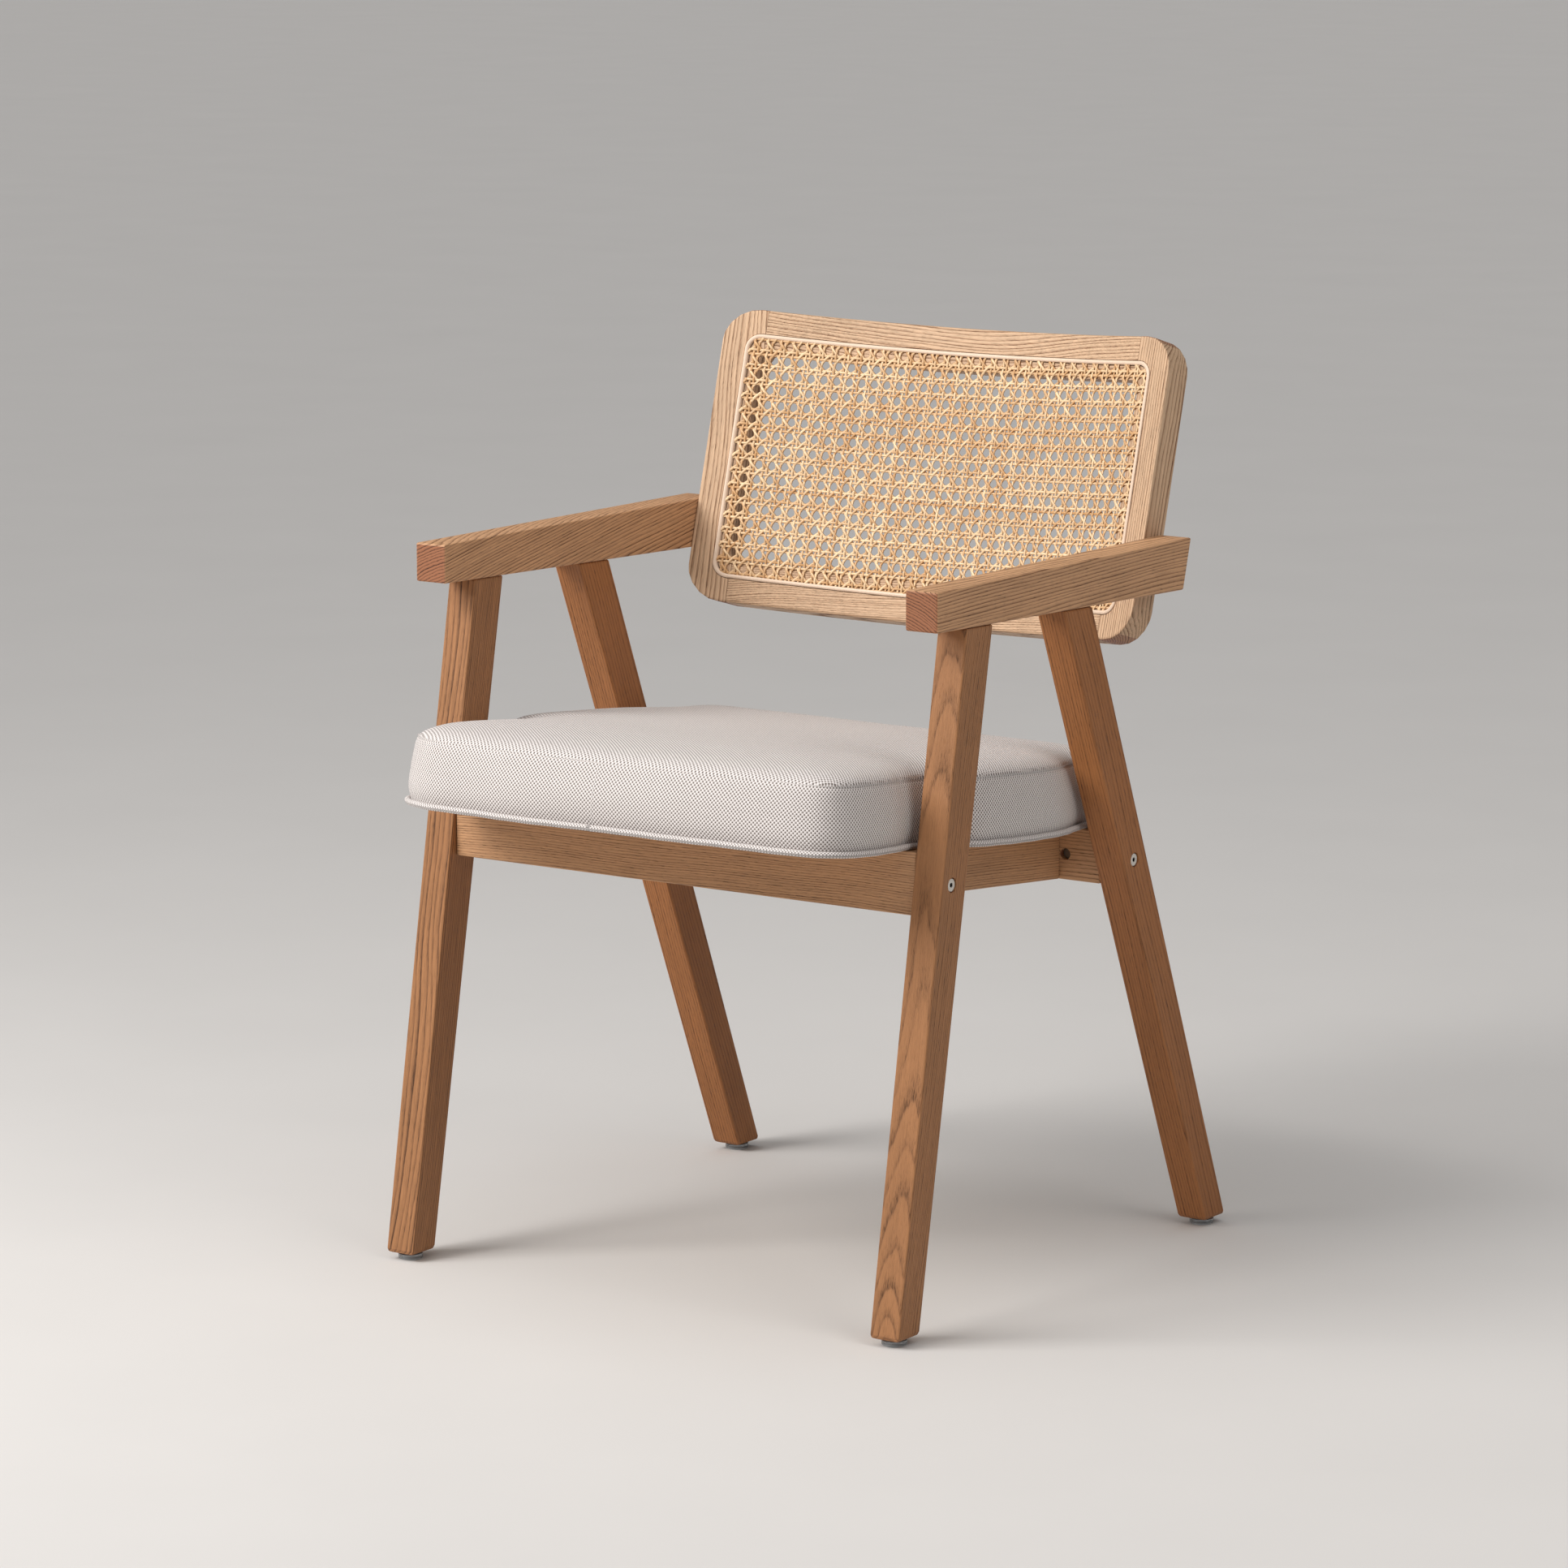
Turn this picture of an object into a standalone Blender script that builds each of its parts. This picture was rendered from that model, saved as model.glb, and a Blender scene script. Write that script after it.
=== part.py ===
"""A rigid wooden armchair: two A-shaped sides, a curved cane back and an upholstered seat.

The two sides are an arm on a front and a rear leg. Front and rear rails join them with
connector bolts and barrel nuts, and two side rails carry the seat. The back is a frame of
four curved pieces that holds a cane panel with a reed spline.
Metres, +Z up. The chair faces -Y and stands on Z = 0.
"""

import bpy
import bmesh
from math import atan, cos, hypot, pi, radians, sin, sqrt, tan
from mathutils import Matrix, Vector

GAP = 0.0003            # clearance between pieces that touch

# Arms
ARM_INNER = 0.2427      # X of the faces that hold the back
ARM_OUTER = 0.2750
ARM_TOP = 0.6410
ARM_FRONT = -0.1927
ARM_REAR = 0.2219       # at the top edge
ARM_HEIGHT_FRONT = 0.0345
ARM_HEIGHT_REAR = 0.0458

# Legs: Y of the front and the back edge at Z = 0, and how far they move per metre of height
LEG_INNER = 0.2449
LEG_OUTER = 0.2742
FRONT_LEG_EDGES = ((-0.2487, 0.1703), (-0.2158, 0.1838))
REAR_LEG_EDGES = ((0.2658, -0.4258), (0.3003, -0.4077))
GLIDE_HEIGHT = 0.0060
GLIDE_RADIUS = 0.0110
FOOT_ROUNDING = 0.0040
EDGE_ROUNDING = 0.0016

# Rails
RAIL_THICKNESS = 0.0220
FRONT_RAIL_FACE = -0.1778
FRONT_RAIL_BOTTOM = 0.3603
REAR_RAIL_FACE = 0.1201
SIDE_RAIL_OUTER = 0.2030
SIDE_RAIL_HEIGHT = 0.0480
SEAT_EDGE_Z = 0.4154    # top of the front rail at its front face
SEAT_SLOPE = 0.0910     # fall of the seat per metre towards the back

# Back frame, in its own curved coordinates
BACK_HALF_WIDTH = 0.2424
BACK_LEAN = radians(15.3)
BACK_SAGITTA = 0.0372   # depth of the curve in plan
BACK_THICKNESS = 0.0345
BACK_Y = 0.2065         # front edge of a stile at the height BACK_Z
BACK_Z = 0.6875
BACK_LOW = -0.1411      # along the lean, from BACK_Z
BACK_HIGH = 0.1343
BACK_CORNER = 0.0330
BACK_EDGE_ROUNDING = 0.0025
MEMBER_WIDTH = 0.0400
SPLINE_INSET = 0.0225   # from the frame's outer edge to the groove
SPLINE_WIDTH = 0.0044
SPLINE_CORNER = 0.0150
GROOVE_DEPTH = 0.0050
LEDGE_DEPTH = 0.0016    # the cane lies this far below the frame's face
CANE_THICKNESS = 0.0012
WINDOW_SIDE_INSET = 0.0365    # from the frame's outer edge to the window, at the stiles
WINDOW_CORNER = 0.0080
REBATE_INSET = 0.0290         # the wider opening behind, at the stiles
REBATE_END_INSET = 0.0335     # and at the rails
REBATE_DEPTH = 0.0180         # from the front face to the rebate

# Seat
BOARD_THICKNESS = 0.0120
SEAT_WALL_HEIGHT = 0.0610
SEAT_CROWN = 0.0130
CROWN_STEPS = ((1.0, 0.0), (0.96, 0.45), (0.84, 0.85), (0.60, 1.0))    # share of the size, and of the rise
PIPING_RADIUS = 0.0026
COVER_THICKNESS = 0.0014
# Half of the seat's outline, front centre to rear centre. It is notched round the legs.
SEAT_HALF_OUTLINE = (
    (0.0000, -0.3110), (0.1000, -0.3095), (0.1880, -0.3050), (0.2200, -0.2990),
    (0.2360, -0.2860), (0.2430, -0.2650), (0.2435, -0.2350), (0.2400, -0.1950), (0.2360, -0.1750),
    (0.2350, -0.1400), (0.2400, -0.1200), (0.2540, -0.1060), (0.2600, -0.0800),
    (0.2595, -0.0100), (0.2555, 0.0350), (0.2450, 0.0620), (0.2330, 0.0830),
    (0.2300, 0.1000), (0.2300, 0.1480), (0.2200, 0.1690), (0.1980, 0.1790), (0.0000, 0.1830),
)

# Hardware
DOWEL_RADIUS = 0.0040
BOLT_RADIUS = 0.0030
BOLT_HEAD_RADIUS = 0.0059
BOLT_HEAD_THICKNESS = 0.0025
BOLT_END = 0.2030       # X of the tip
BOLT_SOCKET_RADIUS = 0.0023
BOLT_SOCKET_DEPTH = 0.0030
BOLT_INSET = 0.0010      # from the leg's face to the head's
RECESS_RADIUS = 0.0066
RECESS_DEPTH = 0.0035      # 0.3 mm clear of the head's underside
BARREL_X = 0.2088
BARREL_RADIUS = 0.0047
BARREL_LENGTH = 0.0140
BARREL_HOLE_DEPTH = 0.0183
FRONT_BOLT_Z = 0.3885
REAR_BOLT_Z = 0.3635
SCREW_LENGTH = 0.0460
SCREW_RADIUS = 0.0022
SCREW_HEAD_RADIUS = 0.0045
ROUND_SIDES = 16

SIDES = (("left", 1), ("right", -1))
WOOD = (0.40, 0.20, 0.09, 1.0)
LIGHT_WOOD = (0.58, 0.36, 0.19, 1.0)
DOWEL_WOOD = (0.62, 0.45, 0.26, 1.0)


def clear_scene():
    for obj in list(bpy.data.objects):
        bpy.data.objects.remove(obj, do_unlink=True)


def material(name, colour, roughness, metallic=0.0):
    made = bpy.data.materials.new(name)
    made.use_nodes = True
    shader = made.node_tree.nodes["Principled BSDF"]
    shader.inputs["Base Color"].default_value = colour
    shader.inputs["Roughness"].default_value = roughness
    shader.inputs["Metallic"].default_value = metallic
    return made


def add_object(name, mesh, colour=LIGHT_WOOD, roughness=0.5, metallic=0.0):
    mesh.name = name
    obj = bpy.data.objects.new(name, mesh)
    bpy.context.scene.collection.objects.link(obj)
    if not mesh.materials:
        mesh.materials.append(material(name, colour, roughness, metallic))
    return obj


def mesh_from(bm):
    """The bmesh as a mesh, with its faces turned outwards."""
    bmesh.ops.recalc_face_normals(bm, faces=bm.faces)
    mesh = bpy.data.meshes.new("mesh")
    bm.to_mesh(mesh)
    bm.free()
    return mesh


def add_band(bm, first, second):
    """The faces between two loops of equally many points."""
    for i in range(len(first)):
        j = (i + 1) % len(first)
        bm.faces.new((first[i], first[j], second[j], second[i]))


def loft(rings, closed_ends=True):
    """A mesh through rings of equally many points, capped at both ends or joined into a loop."""
    bm = bmesh.new()
    loops = [[bm.verts.new(point) for point in ring] for ring in rings]
    pairs = list(zip(loops, loops[1:]))
    if not closed_ends:
        pairs.append((loops[-1], loops[0]))
    for first, second in pairs:
        add_band(bm, first, second)
    if closed_ends:
        bm.faces.new(loops[0])
        bm.faces.new(loops[-1])
    return bm


def shell_between(inner, outer):
    """A shell open at its first rings, between two lofts that are each capped at the last ring."""
    bm = bmesh.new()
    sides = []
    for rings in (inner, outer):
        loops = [[bm.verts.new(point) for point in ring] for ring in rings]
        for first, second in zip(loops, loops[1:]):
            add_band(bm, first, second)
        bm.faces.new(loops[-1])
        sides.append(loops[0])
    add_band(bm, *sides)
    return bm


def profile_solid(outline, x_low, x_high):
    """A side profile of (y, z) points, made solid between two X planes."""
    return loft([[(x, y, z) for y, z in outline] for x in (x_low, x_high)])


def side_span(sign, inner, outer):
    """The X range of a piece on the side of this sign."""
    return (inner, outer) if sign > 0 else (-outer, -inner)


def round_edges(obj, width, segments=2):
    bevel = obj.modifiers.new("edge_rounding", "BEVEL")
    bevel.width = width
    bevel.segments = segments
    bevel.limit_method = "ANGLE"
    bevel.angle_limit = radians(40)


def round_marked_edges(obj, width, segments=2):
    bevel = obj.modifiers.new("edge_rounding", "BEVEL")
    bevel.width = width
    bevel.segments = segments
    bevel.limit_method = "WEIGHT"


def cut(obj, cutters):
    for cutter in cutters:
        boolean = obj.modifiers.new("cut_" + cutter.name, "BOOLEAN")
        boolean.operation = "DIFFERENCE"
        boolean.solver = "EXACT"
        boolean.object = cutter


def as_cutter(obj):
    obj.hide_render = True
    obj.display_type = "WIRE"
    return obj


def shade_round(obj):
    obj.data.shade_smooth()
    obj.data.set_sharp_from_angle(angle=radians(35))


def cylinder_mesh(radius, length, chamfer=0.0, sides=ROUND_SIDES):
    """A cylinder along +Z from the origin, with chamfered ends if asked for."""
    steps = [(radius - chamfer, 0.0), (radius, chamfer), (radius, length - chamfer), (radius - chamfer, length)]
    if not chamfer:
        steps = [(radius, 0.0), (radius, length)]
    turns = [2 * pi * (i + 0.5) / sides for i in range(sides)]
    return loft([[(r * cos(a), r * sin(a), z) for a in turns] for r, z in steps])


def along(obj, start, direction):
    """Puts an object's origin at start and turns its +Z to direction."""
    obj.location = start
    obj.rotation_mode = "QUATERNION"
    obj.rotation_quaternion = Vector(direction).to_track_quat("Z", "Y")
    return obj


def hole(name, start, direction, radius, depth, sides=ROUND_SIDES):
    obj = add_object(name, mesh_from(cylinder_mesh(radius, depth, sides=sides)))
    return as_cutter(along(obj, start, direction))


# Arms and legs

def arm_bottom(y):
    share = (y - ARM_FRONT) / (ARM_REAR - ARM_FRONT)
    return ARM_TOP - ARM_HEIGHT_FRONT - share * (ARM_HEIGHT_REAR - ARM_HEIGHT_FRONT)


def leg_edge(edge, z):
    at_floor, drift = edge
    return at_floor + drift * z


def meets_arm(edge, clearance):
    """The point where a leg's edge line reaches the arm's underside, less a clearance."""
    z = ARM_TOP
    for _ in range(20):
        z = arm_bottom(leg_edge(edge, z)) - clearance
    return leg_edge(edge, z), z


def make_arm(side, sign):
    rear_bottom = ARM_REAR - ARM_HEIGHT_REAR * tan(BACK_LEAN)
    outline = (
        (ARM_FRONT, ARM_TOP),
        (ARM_REAR, ARM_TOP),
        (rear_bottom, arm_bottom(rear_bottom)),
        (ARM_FRONT, arm_bottom(ARM_FRONT)),
    )
    bm = profile_solid(outline, *side_span(sign, ARM_INNER, ARM_OUTER))
    arm = add_object("arm_" + side, mesh_from(bm), WOOD, 0.5)
    round_edges(arm, EDGE_ROUNDING)
    return arm


def make_leg(place, side, sign, edges):
    front, back = edges
    foot_z = GLIDE_HEIGHT + GAP
    outline = (
        (leg_edge(front, foot_z), foot_z),
        (leg_edge(back, foot_z), foot_z),
        meets_arm(back, GAP),
        meets_arm(front, GAP),
    )
    bm = profile_solid(outline, *side_span(sign, LEG_INNER, LEG_OUTER))
    mark = bm.edges.layers.float.new("bevel_weight_edge")
    for edge in bm.edges:
        at_foot = all(vert.co.z < GLIDE_HEIGHT * 2 for vert in edge.verts)
        edge[mark] = 1.0 if at_foot else EDGE_ROUNDING / FOOT_ROUNDING
    leg = add_object(f"leg_{place}_{side}", mesh_from(bm), WOOD, 0.5)
    round_marked_edges(leg, FOOT_ROUNDING)
    return leg


def make_glide(place, side, sign, edges):
    centre_y = sum(leg_edge(edge, GLIDE_HEIGHT) for edge in edges) / 2
    centre_x = sign * (LEG_INNER + LEG_OUTER) / 2
    bm = cylinder_mesh(GLIDE_RADIUS, GLIDE_HEIGHT, chamfer=0.0012, sides=24)
    glide = add_object(f"glide_{place}_{side}", mesh_from(bm), (0.8, 0.8, 0.78, 1.0), 0.15)
    glide.location = (centre_x, centre_y, 0.0)
    shade_round(glide)


def add_leg_dowels(place, side, sign, edges, leg, arm):
    """Two dowels along the leg, half in the leg's top and half in the arm."""
    front, back = edges
    lean = (front[1] + back[1]) / 2
    up = Vector((0.0, lean, 1.0)).normalized()
    (front_y, front_z), (back_y, back_z) = meets_arm(front, 0.0), meets_arm(back, 0.0)
    half_length = 0.0180
    for index, share in enumerate((0.27, 0.73)):
        middle = Vector((
            sign * (LEG_INNER + LEG_OUTER) / 2,
            front_y + share * (back_y - front_y),
            front_z + share * (back_z - front_z),
        ))
        name = f"arm_dowel_{place}_{side}_{index + 1}"
        add_dowel(name, middle - up * half_length, up, 2 * half_length, (leg, arm))


def add_dowel(name, start, direction, length, holders):
    """A dowel and the blind hole that it makes in each piece it joins."""
    direction = Vector(direction).normalized()
    bm = cylinder_mesh(DOWEL_RADIUS, length, chamfer=0.0008, sides=12)
    dowel = along(add_object(name, mesh_from(bm), DOWEL_WOOD, 0.6), start, direction)
    shade_round(dowel)
    slack = 0.0010
    cutter = hole("hole_" + name, Vector(start) - direction * slack, direction,
                  DOWEL_RADIUS + 2 * GAP, length + 2 * slack)
    for holder in holders:
        cut(holder, [cutter])


# Rails

def seat_plane(y):
    return SEAT_EDGE_Z - SEAT_SLOPE * (y - FRONT_RAIL_FACE)


def rear_rail_bottom():
    return seat_plane(REAR_RAIL_FACE) - SIDE_RAIL_HEIGHT


def make_cross_rail(name, face_y, bottom_z):
    """A rail between the legs whose top follows the seat's slope."""
    back_y = face_y + RAIL_THICKNESS
    outline = (
        (face_y, bottom_z),
        (back_y, bottom_z),
        (back_y, seat_plane(back_y)),
        (face_y, seat_plane(face_y)),
    )
    half = LEG_INNER - GAP
    rail = add_object(name, mesh_from(profile_solid(outline, -half, half)), WOOD, 0.5)
    round_edges(rail, 0.0010, segments=1)
    return rail


def make_side_rail(side, sign):
    front_y = FRONT_RAIL_FACE + RAIL_THICKNESS + GAP
    back_y = REAR_RAIL_FACE - GAP
    outline = (
        (front_y, seat_plane(front_y) - SIDE_RAIL_HEIGHT),
        (back_y, seat_plane(back_y) - SIDE_RAIL_HEIGHT),
        (back_y, seat_plane(back_y)),
        (front_y, seat_plane(front_y)),
    )
    span = side_span(sign, SIDE_RAIL_OUTER - RAIL_THICKNESS, SIDE_RAIL_OUTER)
    rail = add_object("side_rail_" + side, mesh_from(profile_solid(outline, *span)), WOOD, 0.5)
    round_edges(rail, 0.0010, segments=1)
    return rail


def tenon_mesh(thickness, width, length):
    """A loose tenon with round edges, centred on the origin, its length along +Z."""
    radius = thickness / 2
    flat = width / 2 - radius
    turns = [pi * i / 6 for i in range(7)]
    ring = [(flat + radius * sin(a), radius * cos(a)) for a in turns]
    ring += [(-x, -y) for x, y in ring]
    return mesh_from(loft([[(x, y, z) for x, y in ring] for z in (-length / 2, length / 2)]))


def add_tenon(name, centre, turn, size, holders):
    """A loose tenon turned by a matrix, and its mortise in the two pieces that it joins."""
    thickness, width, length = size
    tenon = add_object(name, tenon_mesh(thickness, width, length), DOWEL_WOOD, 0.6)
    grown = tenon_mesh(thickness + 4 * GAP, width + 4 * GAP, length + 0.0020)
    mortise = as_cutter(add_object("mortise_" + name, grown))
    for obj in (tenon, mortise):
        obj.matrix_world = Matrix.Translation(centre) @ turn.to_4x4()
    shade_round(tenon)
    for holder in holders:
        cut(holder, [mortise])


def add_side_rail_tenons(side, sign, side_rail, front_rail, rear_rail):
    centre_x = sign * (SIDE_RAIL_OUTER - RAIL_THICKNESS / 2)
    turn = Matrix(((0.0, 1.0, 0.0), (0.0, 0.0, 1.0), (1.0, 0.0, 0.0)))
    joints = (
        ("front", FRONT_RAIL_FACE + RAIL_THICKNESS, front_rail),
        ("rear", REAR_RAIL_FACE, rear_rail),
    )
    for place, joint_y, cross_rail in joints:
        centre = (centre_x, joint_y, seat_plane(joint_y) - SIDE_RAIL_HEIGHT / 2)
        name = f"side_rail_tenon_{place}_{side}"
        add_tenon(name, centre, turn, (0.0080, 0.0240, 0.0300), (side_rail, cross_rail))


def bolt_mesh():
    """A connector bolt along +Z: flat head at the origin, socket in its face, plain shank."""
    shank = LEG_OUTER - BOLT_INSET - BOLT_END - BOLT_HEAD_THICKNESS
    steps = (
        (BOLT_SOCKET_RADIUS, BOLT_SOCKET_DEPTH, 6),
        (BOLT_SOCKET_RADIUS, 0.0, 6),
        (BOLT_HEAD_RADIUS - 0.0005, 0.0, ROUND_SIDES),
        (BOLT_HEAD_RADIUS, 0.0005, ROUND_SIDES),
        (BOLT_HEAD_RADIUS, BOLT_HEAD_THICKNESS, ROUND_SIDES),
        (BOLT_RADIUS, BOLT_HEAD_THICKNESS, ROUND_SIDES),
        (BOLT_RADIUS, BOLT_HEAD_THICKNESS + shank, ROUND_SIDES),
    )
    sides = 24
    rings = []
    for radius, z, corners in steps:
        ring = []
        for i in range(sides):
            a = 2 * pi * i / sides
            if corners == 6:
                within = (a + pi / 6) % (pi / 3) - pi / 6
                reach = radius * cos(pi / 6) / cos(within)
            else:
                reach = radius
            ring.append((reach * cos(a), reach * sin(a), z))
        rings.append(ring)
    return mesh_from(loft(rings))


def add_bolt(place, side, sign, centre_y, z, leg, rail, nut_side):
    """A bolt through the leg into a barrel nut in the rail, with their holes."""
    inwards = Vector((-sign, 0.0, 0.0))
    head = Vector((sign * (LEG_OUTER - BOLT_INSET), centre_y, z))
    tag = f"{place}_{side}"
    bolt = add_object("bolt_" + tag, bolt_mesh(), (0.62, 0.60, 0.56, 1.0), 0.3, 1.0)
    along(bolt, head, inwards)
    shade_round(bolt)
    outer_face = Vector((sign * (LEG_OUTER + 0.0010), centre_y, z))
    recess = hole("recess_" + tag, outer_face, inwards, RECESS_RADIUS, 0.0010 + RECESS_DEPTH + GAP, 24)
    shank_hole = hole("shank_hole_" + tag, outer_face, inwards, BOLT_RADIUS + 0.0005,
                      LEG_OUTER + 0.0020 - BOLT_END)
    cut(leg, [recess, shank_hole])
    cut(rail, [shank_hole])

    outwards = Vector((0.0, nut_side, 0.0))
    face_y = centre_y + nut_side * RAIL_THICKNESS / 2
    nut_end = Vector((sign * BARREL_X, centre_y - nut_side * BARREL_LENGTH / 2, z))
    bm = cylinder_mesh(BARREL_RADIUS, BARREL_LENGTH, chamfer=0.0005)
    nut = add_object("barrel_nut_" + tag, mesh_from(bm), (0.50, 0.47, 0.40, 1.0), 0.35, 1.0)
    along(nut, nut_end, outwards)
    shade_round(nut)
    cut(nut, [shank_hole])
    mouth = Vector((sign * BARREL_X, face_y + nut_side * 0.0010, z))
    nut_hole = hole("nut_hole_" + tag, mouth, -outwards, BARREL_RADIUS + 2 * GAP,
                    0.0010 + BARREL_HOLE_DEPTH)
    cut(rail, [nut_hole])


def add_rail_dowel(place, side, sign, centre_y, z, leg, rail):
    """One dowel beside each bolt stops the rail from turning."""
    length = 0.0300
    start = (sign * (LEG_INNER - length / 2), centre_y, z)
    add_dowel(f"rail_dowel_{place}_{side}", start, (sign, 0.0, 0.0), length, (leg, rail))


# Back frame

def back_curve(u):
    """How far the back's front face lies behind the stiles' outer edges."""
    radius = (BACK_HALF_WIDTH**2 + BACK_SAGITTA**2) / (2 * BACK_SAGITTA)
    return sqrt(radius**2 - u**2) - (radius - BACK_SAGITTA)


def back_point(u, w, n):
    """World point at u across, w up the lean and n behind the curved front face."""
    depth = n + back_curve(min(abs(u), BACK_HALF_WIDTH))
    return Vector((
        u,
        BACK_Y + w * sin(BACK_LEAN) + depth * cos(BACK_LEAN),
        BACK_Z + w * cos(BACK_LEAN) - depth * sin(BACK_LEAN),
    ))


def stations(u_low, u_high, steps):
    return [u_low + (u_high - u_low) * i / steps for i in range(steps + 1)]


def rounded_columns(half_width, low, high, corner, u_low, u_high, steps):
    """(u, low, high) columns of a rounded rectangle between two values of u."""
    flat = half_width - corner
    arc = [flat + corner * sin(pi / 2 * i / 5) for i in range(6)]
    places = stations(max(u_low, -flat), min(u_high, flat), steps)
    places += [u for u in arc if u_low <= u <= u_high + 1e-9]
    places += [-u for u in arc if u_low <= -u + 1e-9 and -u <= u_high]
    columns = []
    for u in sorted(set(round(place, 7) for place in places)):
        over = max(0.0, abs(u) - flat)
        drop = corner - sqrt(max(0.0, corner**2 - over**2))
        columns.append((u, low + drop, high - drop))
    return columns


def column_solid(columns, n_front, n_back):
    """A curved plate made of columns across the back."""
    rings = []
    for u, low, high in columns:
        rings.append([
            back_point(u, low, n_front),
            back_point(u, high, n_front),
            back_point(u, high, n_back),
            back_point(u, low, n_back),
        ])
    return loft(rings)


def rounded_path(half_width, low, high, corner):
    """Points round a rounded rectangle, anticlockwise, with the long runs divided."""
    points = []
    centres = (
        (half_width - corner, low + corner, -pi / 2),
        (half_width - corner, high - corner, 0.0),
        (-half_width + corner, high - corner, pi / 2),
        (-half_width + corner, low + corner, pi),
    )
    for u, w, first in centres:
        points += [(u + corner * cos(first + pi / 2 * i / 5), w + corner * sin(first + pi / 2 * i / 5))
                   for i in range(6)]
    runs = []
    for (u0, w0), (u1, w1) in zip(points, points[1:] + points[:1]):
        runs.append((u0, w0))
        steps = 16 if abs(u1 - u0) > half_width else 1
        runs += [(u0 + (u1 - u0) * i / steps, w0 + (w1 - w0) * i / steps) for i in range(1, steps)]
    return runs


def groove_path(inset):
    """The path at a distance inside the groove's outer edge."""
    edge = SPLINE_INSET + inset
    return rounded_path(BACK_HALF_WIDTH - edge, BACK_LOW + edge, BACK_HIGH - edge, SPLINE_CORNER - inset)


def ring_solid(outer_inset, inner_inset, n_front, n_back):
    """A rectangular section that follows the groove right round."""
    rings = []
    for (u0, w0), (u1, w1) in zip(groove_path(outer_inset), groove_path(inner_inset)):
        rings.append([
            back_point(u0, w0, n_front),
            back_point(u1, w1, n_front),
            back_point(u1, w1, n_back),
            back_point(u0, w0, n_back),
        ])
    return mesh_from(loft(rings, closed_ends=False))


def mark_outer_edges(bm, low_edge, high_edge, side_edge):
    """Marks the frame's outer edges for rounding, and leaves the joints sharp."""
    mark = bm.edges.layers.float.new("bevel_weight_edge")
    for edge in bm.edges:
        normals = [face.normal for face in edge.link_faces]
        if len(normals) != 2 or normals[0].angle(normals[1]) < radians(40):
            continue
        middle = (edge.verts[0].co + edge.verts[1].co) / 2
        along_back = (middle.z - BACK_Z) * cos(BACK_LEAN) + (middle.y - BACK_Y) * sin(BACK_LEAN)
        runs_back = abs((edge.verts[1].co - edge.verts[0].co).normalized().y) > 0.8
        at_rim = (
            (low_edge and abs(along_back - BACK_LOW) < 0.0010)
            or (high_edge and abs(along_back - BACK_HIGH) < 0.0010)
            or (side_edge and abs(middle.x) > BACK_HALF_WIDTH - BACK_CORNER)
        )
        if at_rim and not runs_back:
            edge[mark] = 1.0


def make_back_rail(name, low, high, low_edge, high_edge):
    half = BACK_HALF_WIDTH - MEMBER_WIDTH - GAP
    columns = [(u, low, high) for u in stations(-half, half, 20)]
    bm = column_solid(columns, 0.0, BACK_THICKNESS)
    bmesh.ops.recalc_face_normals(bm, faces=bm.faces)
    mark_outer_edges(bm, low_edge, high_edge, side_edge=False)
    rail = add_object(name, mesh_from(bm), LIGHT_WOOD, 0.55)
    round_marked_edges(rail, BACK_EDGE_ROUNDING)
    return rail


def make_stile(side, sign):
    inner = BACK_HALF_WIDTH - MEMBER_WIDTH
    u_range = (inner, BACK_HALF_WIDTH) if sign > 0 else (-BACK_HALF_WIDTH, -inner)
    columns = rounded_columns(BACK_HALF_WIDTH, BACK_LOW, BACK_HIGH, BACK_CORNER, *u_range, 1)
    bm = column_solid(columns, 0.0, BACK_THICKNESS)
    bmesh.ops.recalc_face_normals(bm, faces=bm.faces)
    mark_outer_edges(bm, True, True, side_edge=True)
    stile = add_object("back_stile_" + side, mesh_from(bm), LIGHT_WOOD, 0.55)
    round_marked_edges(stile, BACK_EDGE_ROUNDING)
    return stile


def make_cane_and_spline(members):
    """The groove and the sunk ledge in all four members, with the cane and its spline."""
    groove = as_cutter(add_object("groove", ring_solid(-GAP, SPLINE_WIDTH + GAP, -0.0010, GROOVE_DEPTH)))
    edge = SPLINE_INSET + SPLINE_WIDTH
    half = BACK_HALF_WIDTH - edge
    low, high = BACK_LOW + edge, BACK_HIGH - edge
    corner = SPLINE_CORNER - SPLINE_WIDTH
    columns = rounded_columns(half, low, high, corner, -half, half, 20)
    sunk = as_cutter(add_object("sunk_ledge", mesh_from(column_solid(columns, -0.0010, LEDGE_DEPTH))))
    for member in members:
        cut(member, [groove, sunk])
    open_window(members)
    make_spline()
    make_cane(half, low, high, corner)


def rounded_cutter(name, side_inset, end_inset, corner, n_front, n_back):
    """A curved rounded block that cuts through the back's opening."""
    half = BACK_HALF_WIDTH - side_inset
    columns = rounded_columns(half, BACK_LOW + end_inset, BACK_HIGH - end_inset, corner, -half, half, 20)
    return as_cutter(add_object(name, mesh_from(column_solid(columns, n_front, n_back))))


def open_window(members):
    """The routed window, which runs a little into the stiles, and the rebate round it behind."""
    behind = BACK_THICKNESS + 0.0020
    window = rounded_cutter("window", WINDOW_SIDE_INSET, MEMBER_WIDTH + GAP, WINDOW_CORNER, -0.0010, behind)
    rebate = rounded_cutter("rebate", REBATE_INSET, REBATE_END_INSET, 2 * WINDOW_CORNER, REBATE_DEPTH, behind)
    for member in members:
        cut(member, [window, rebate] if "stile" in member.name else [rebate])


def make_spline():
    spline = add_object("cane_spline", ring_solid(0.0, SPLINE_WIDTH - GAP, 0.0, GROOVE_DEPTH - GAP),
                        (0.78, 0.62, 0.43, 1.0), 0.5)
    shade_round(spline)


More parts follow.
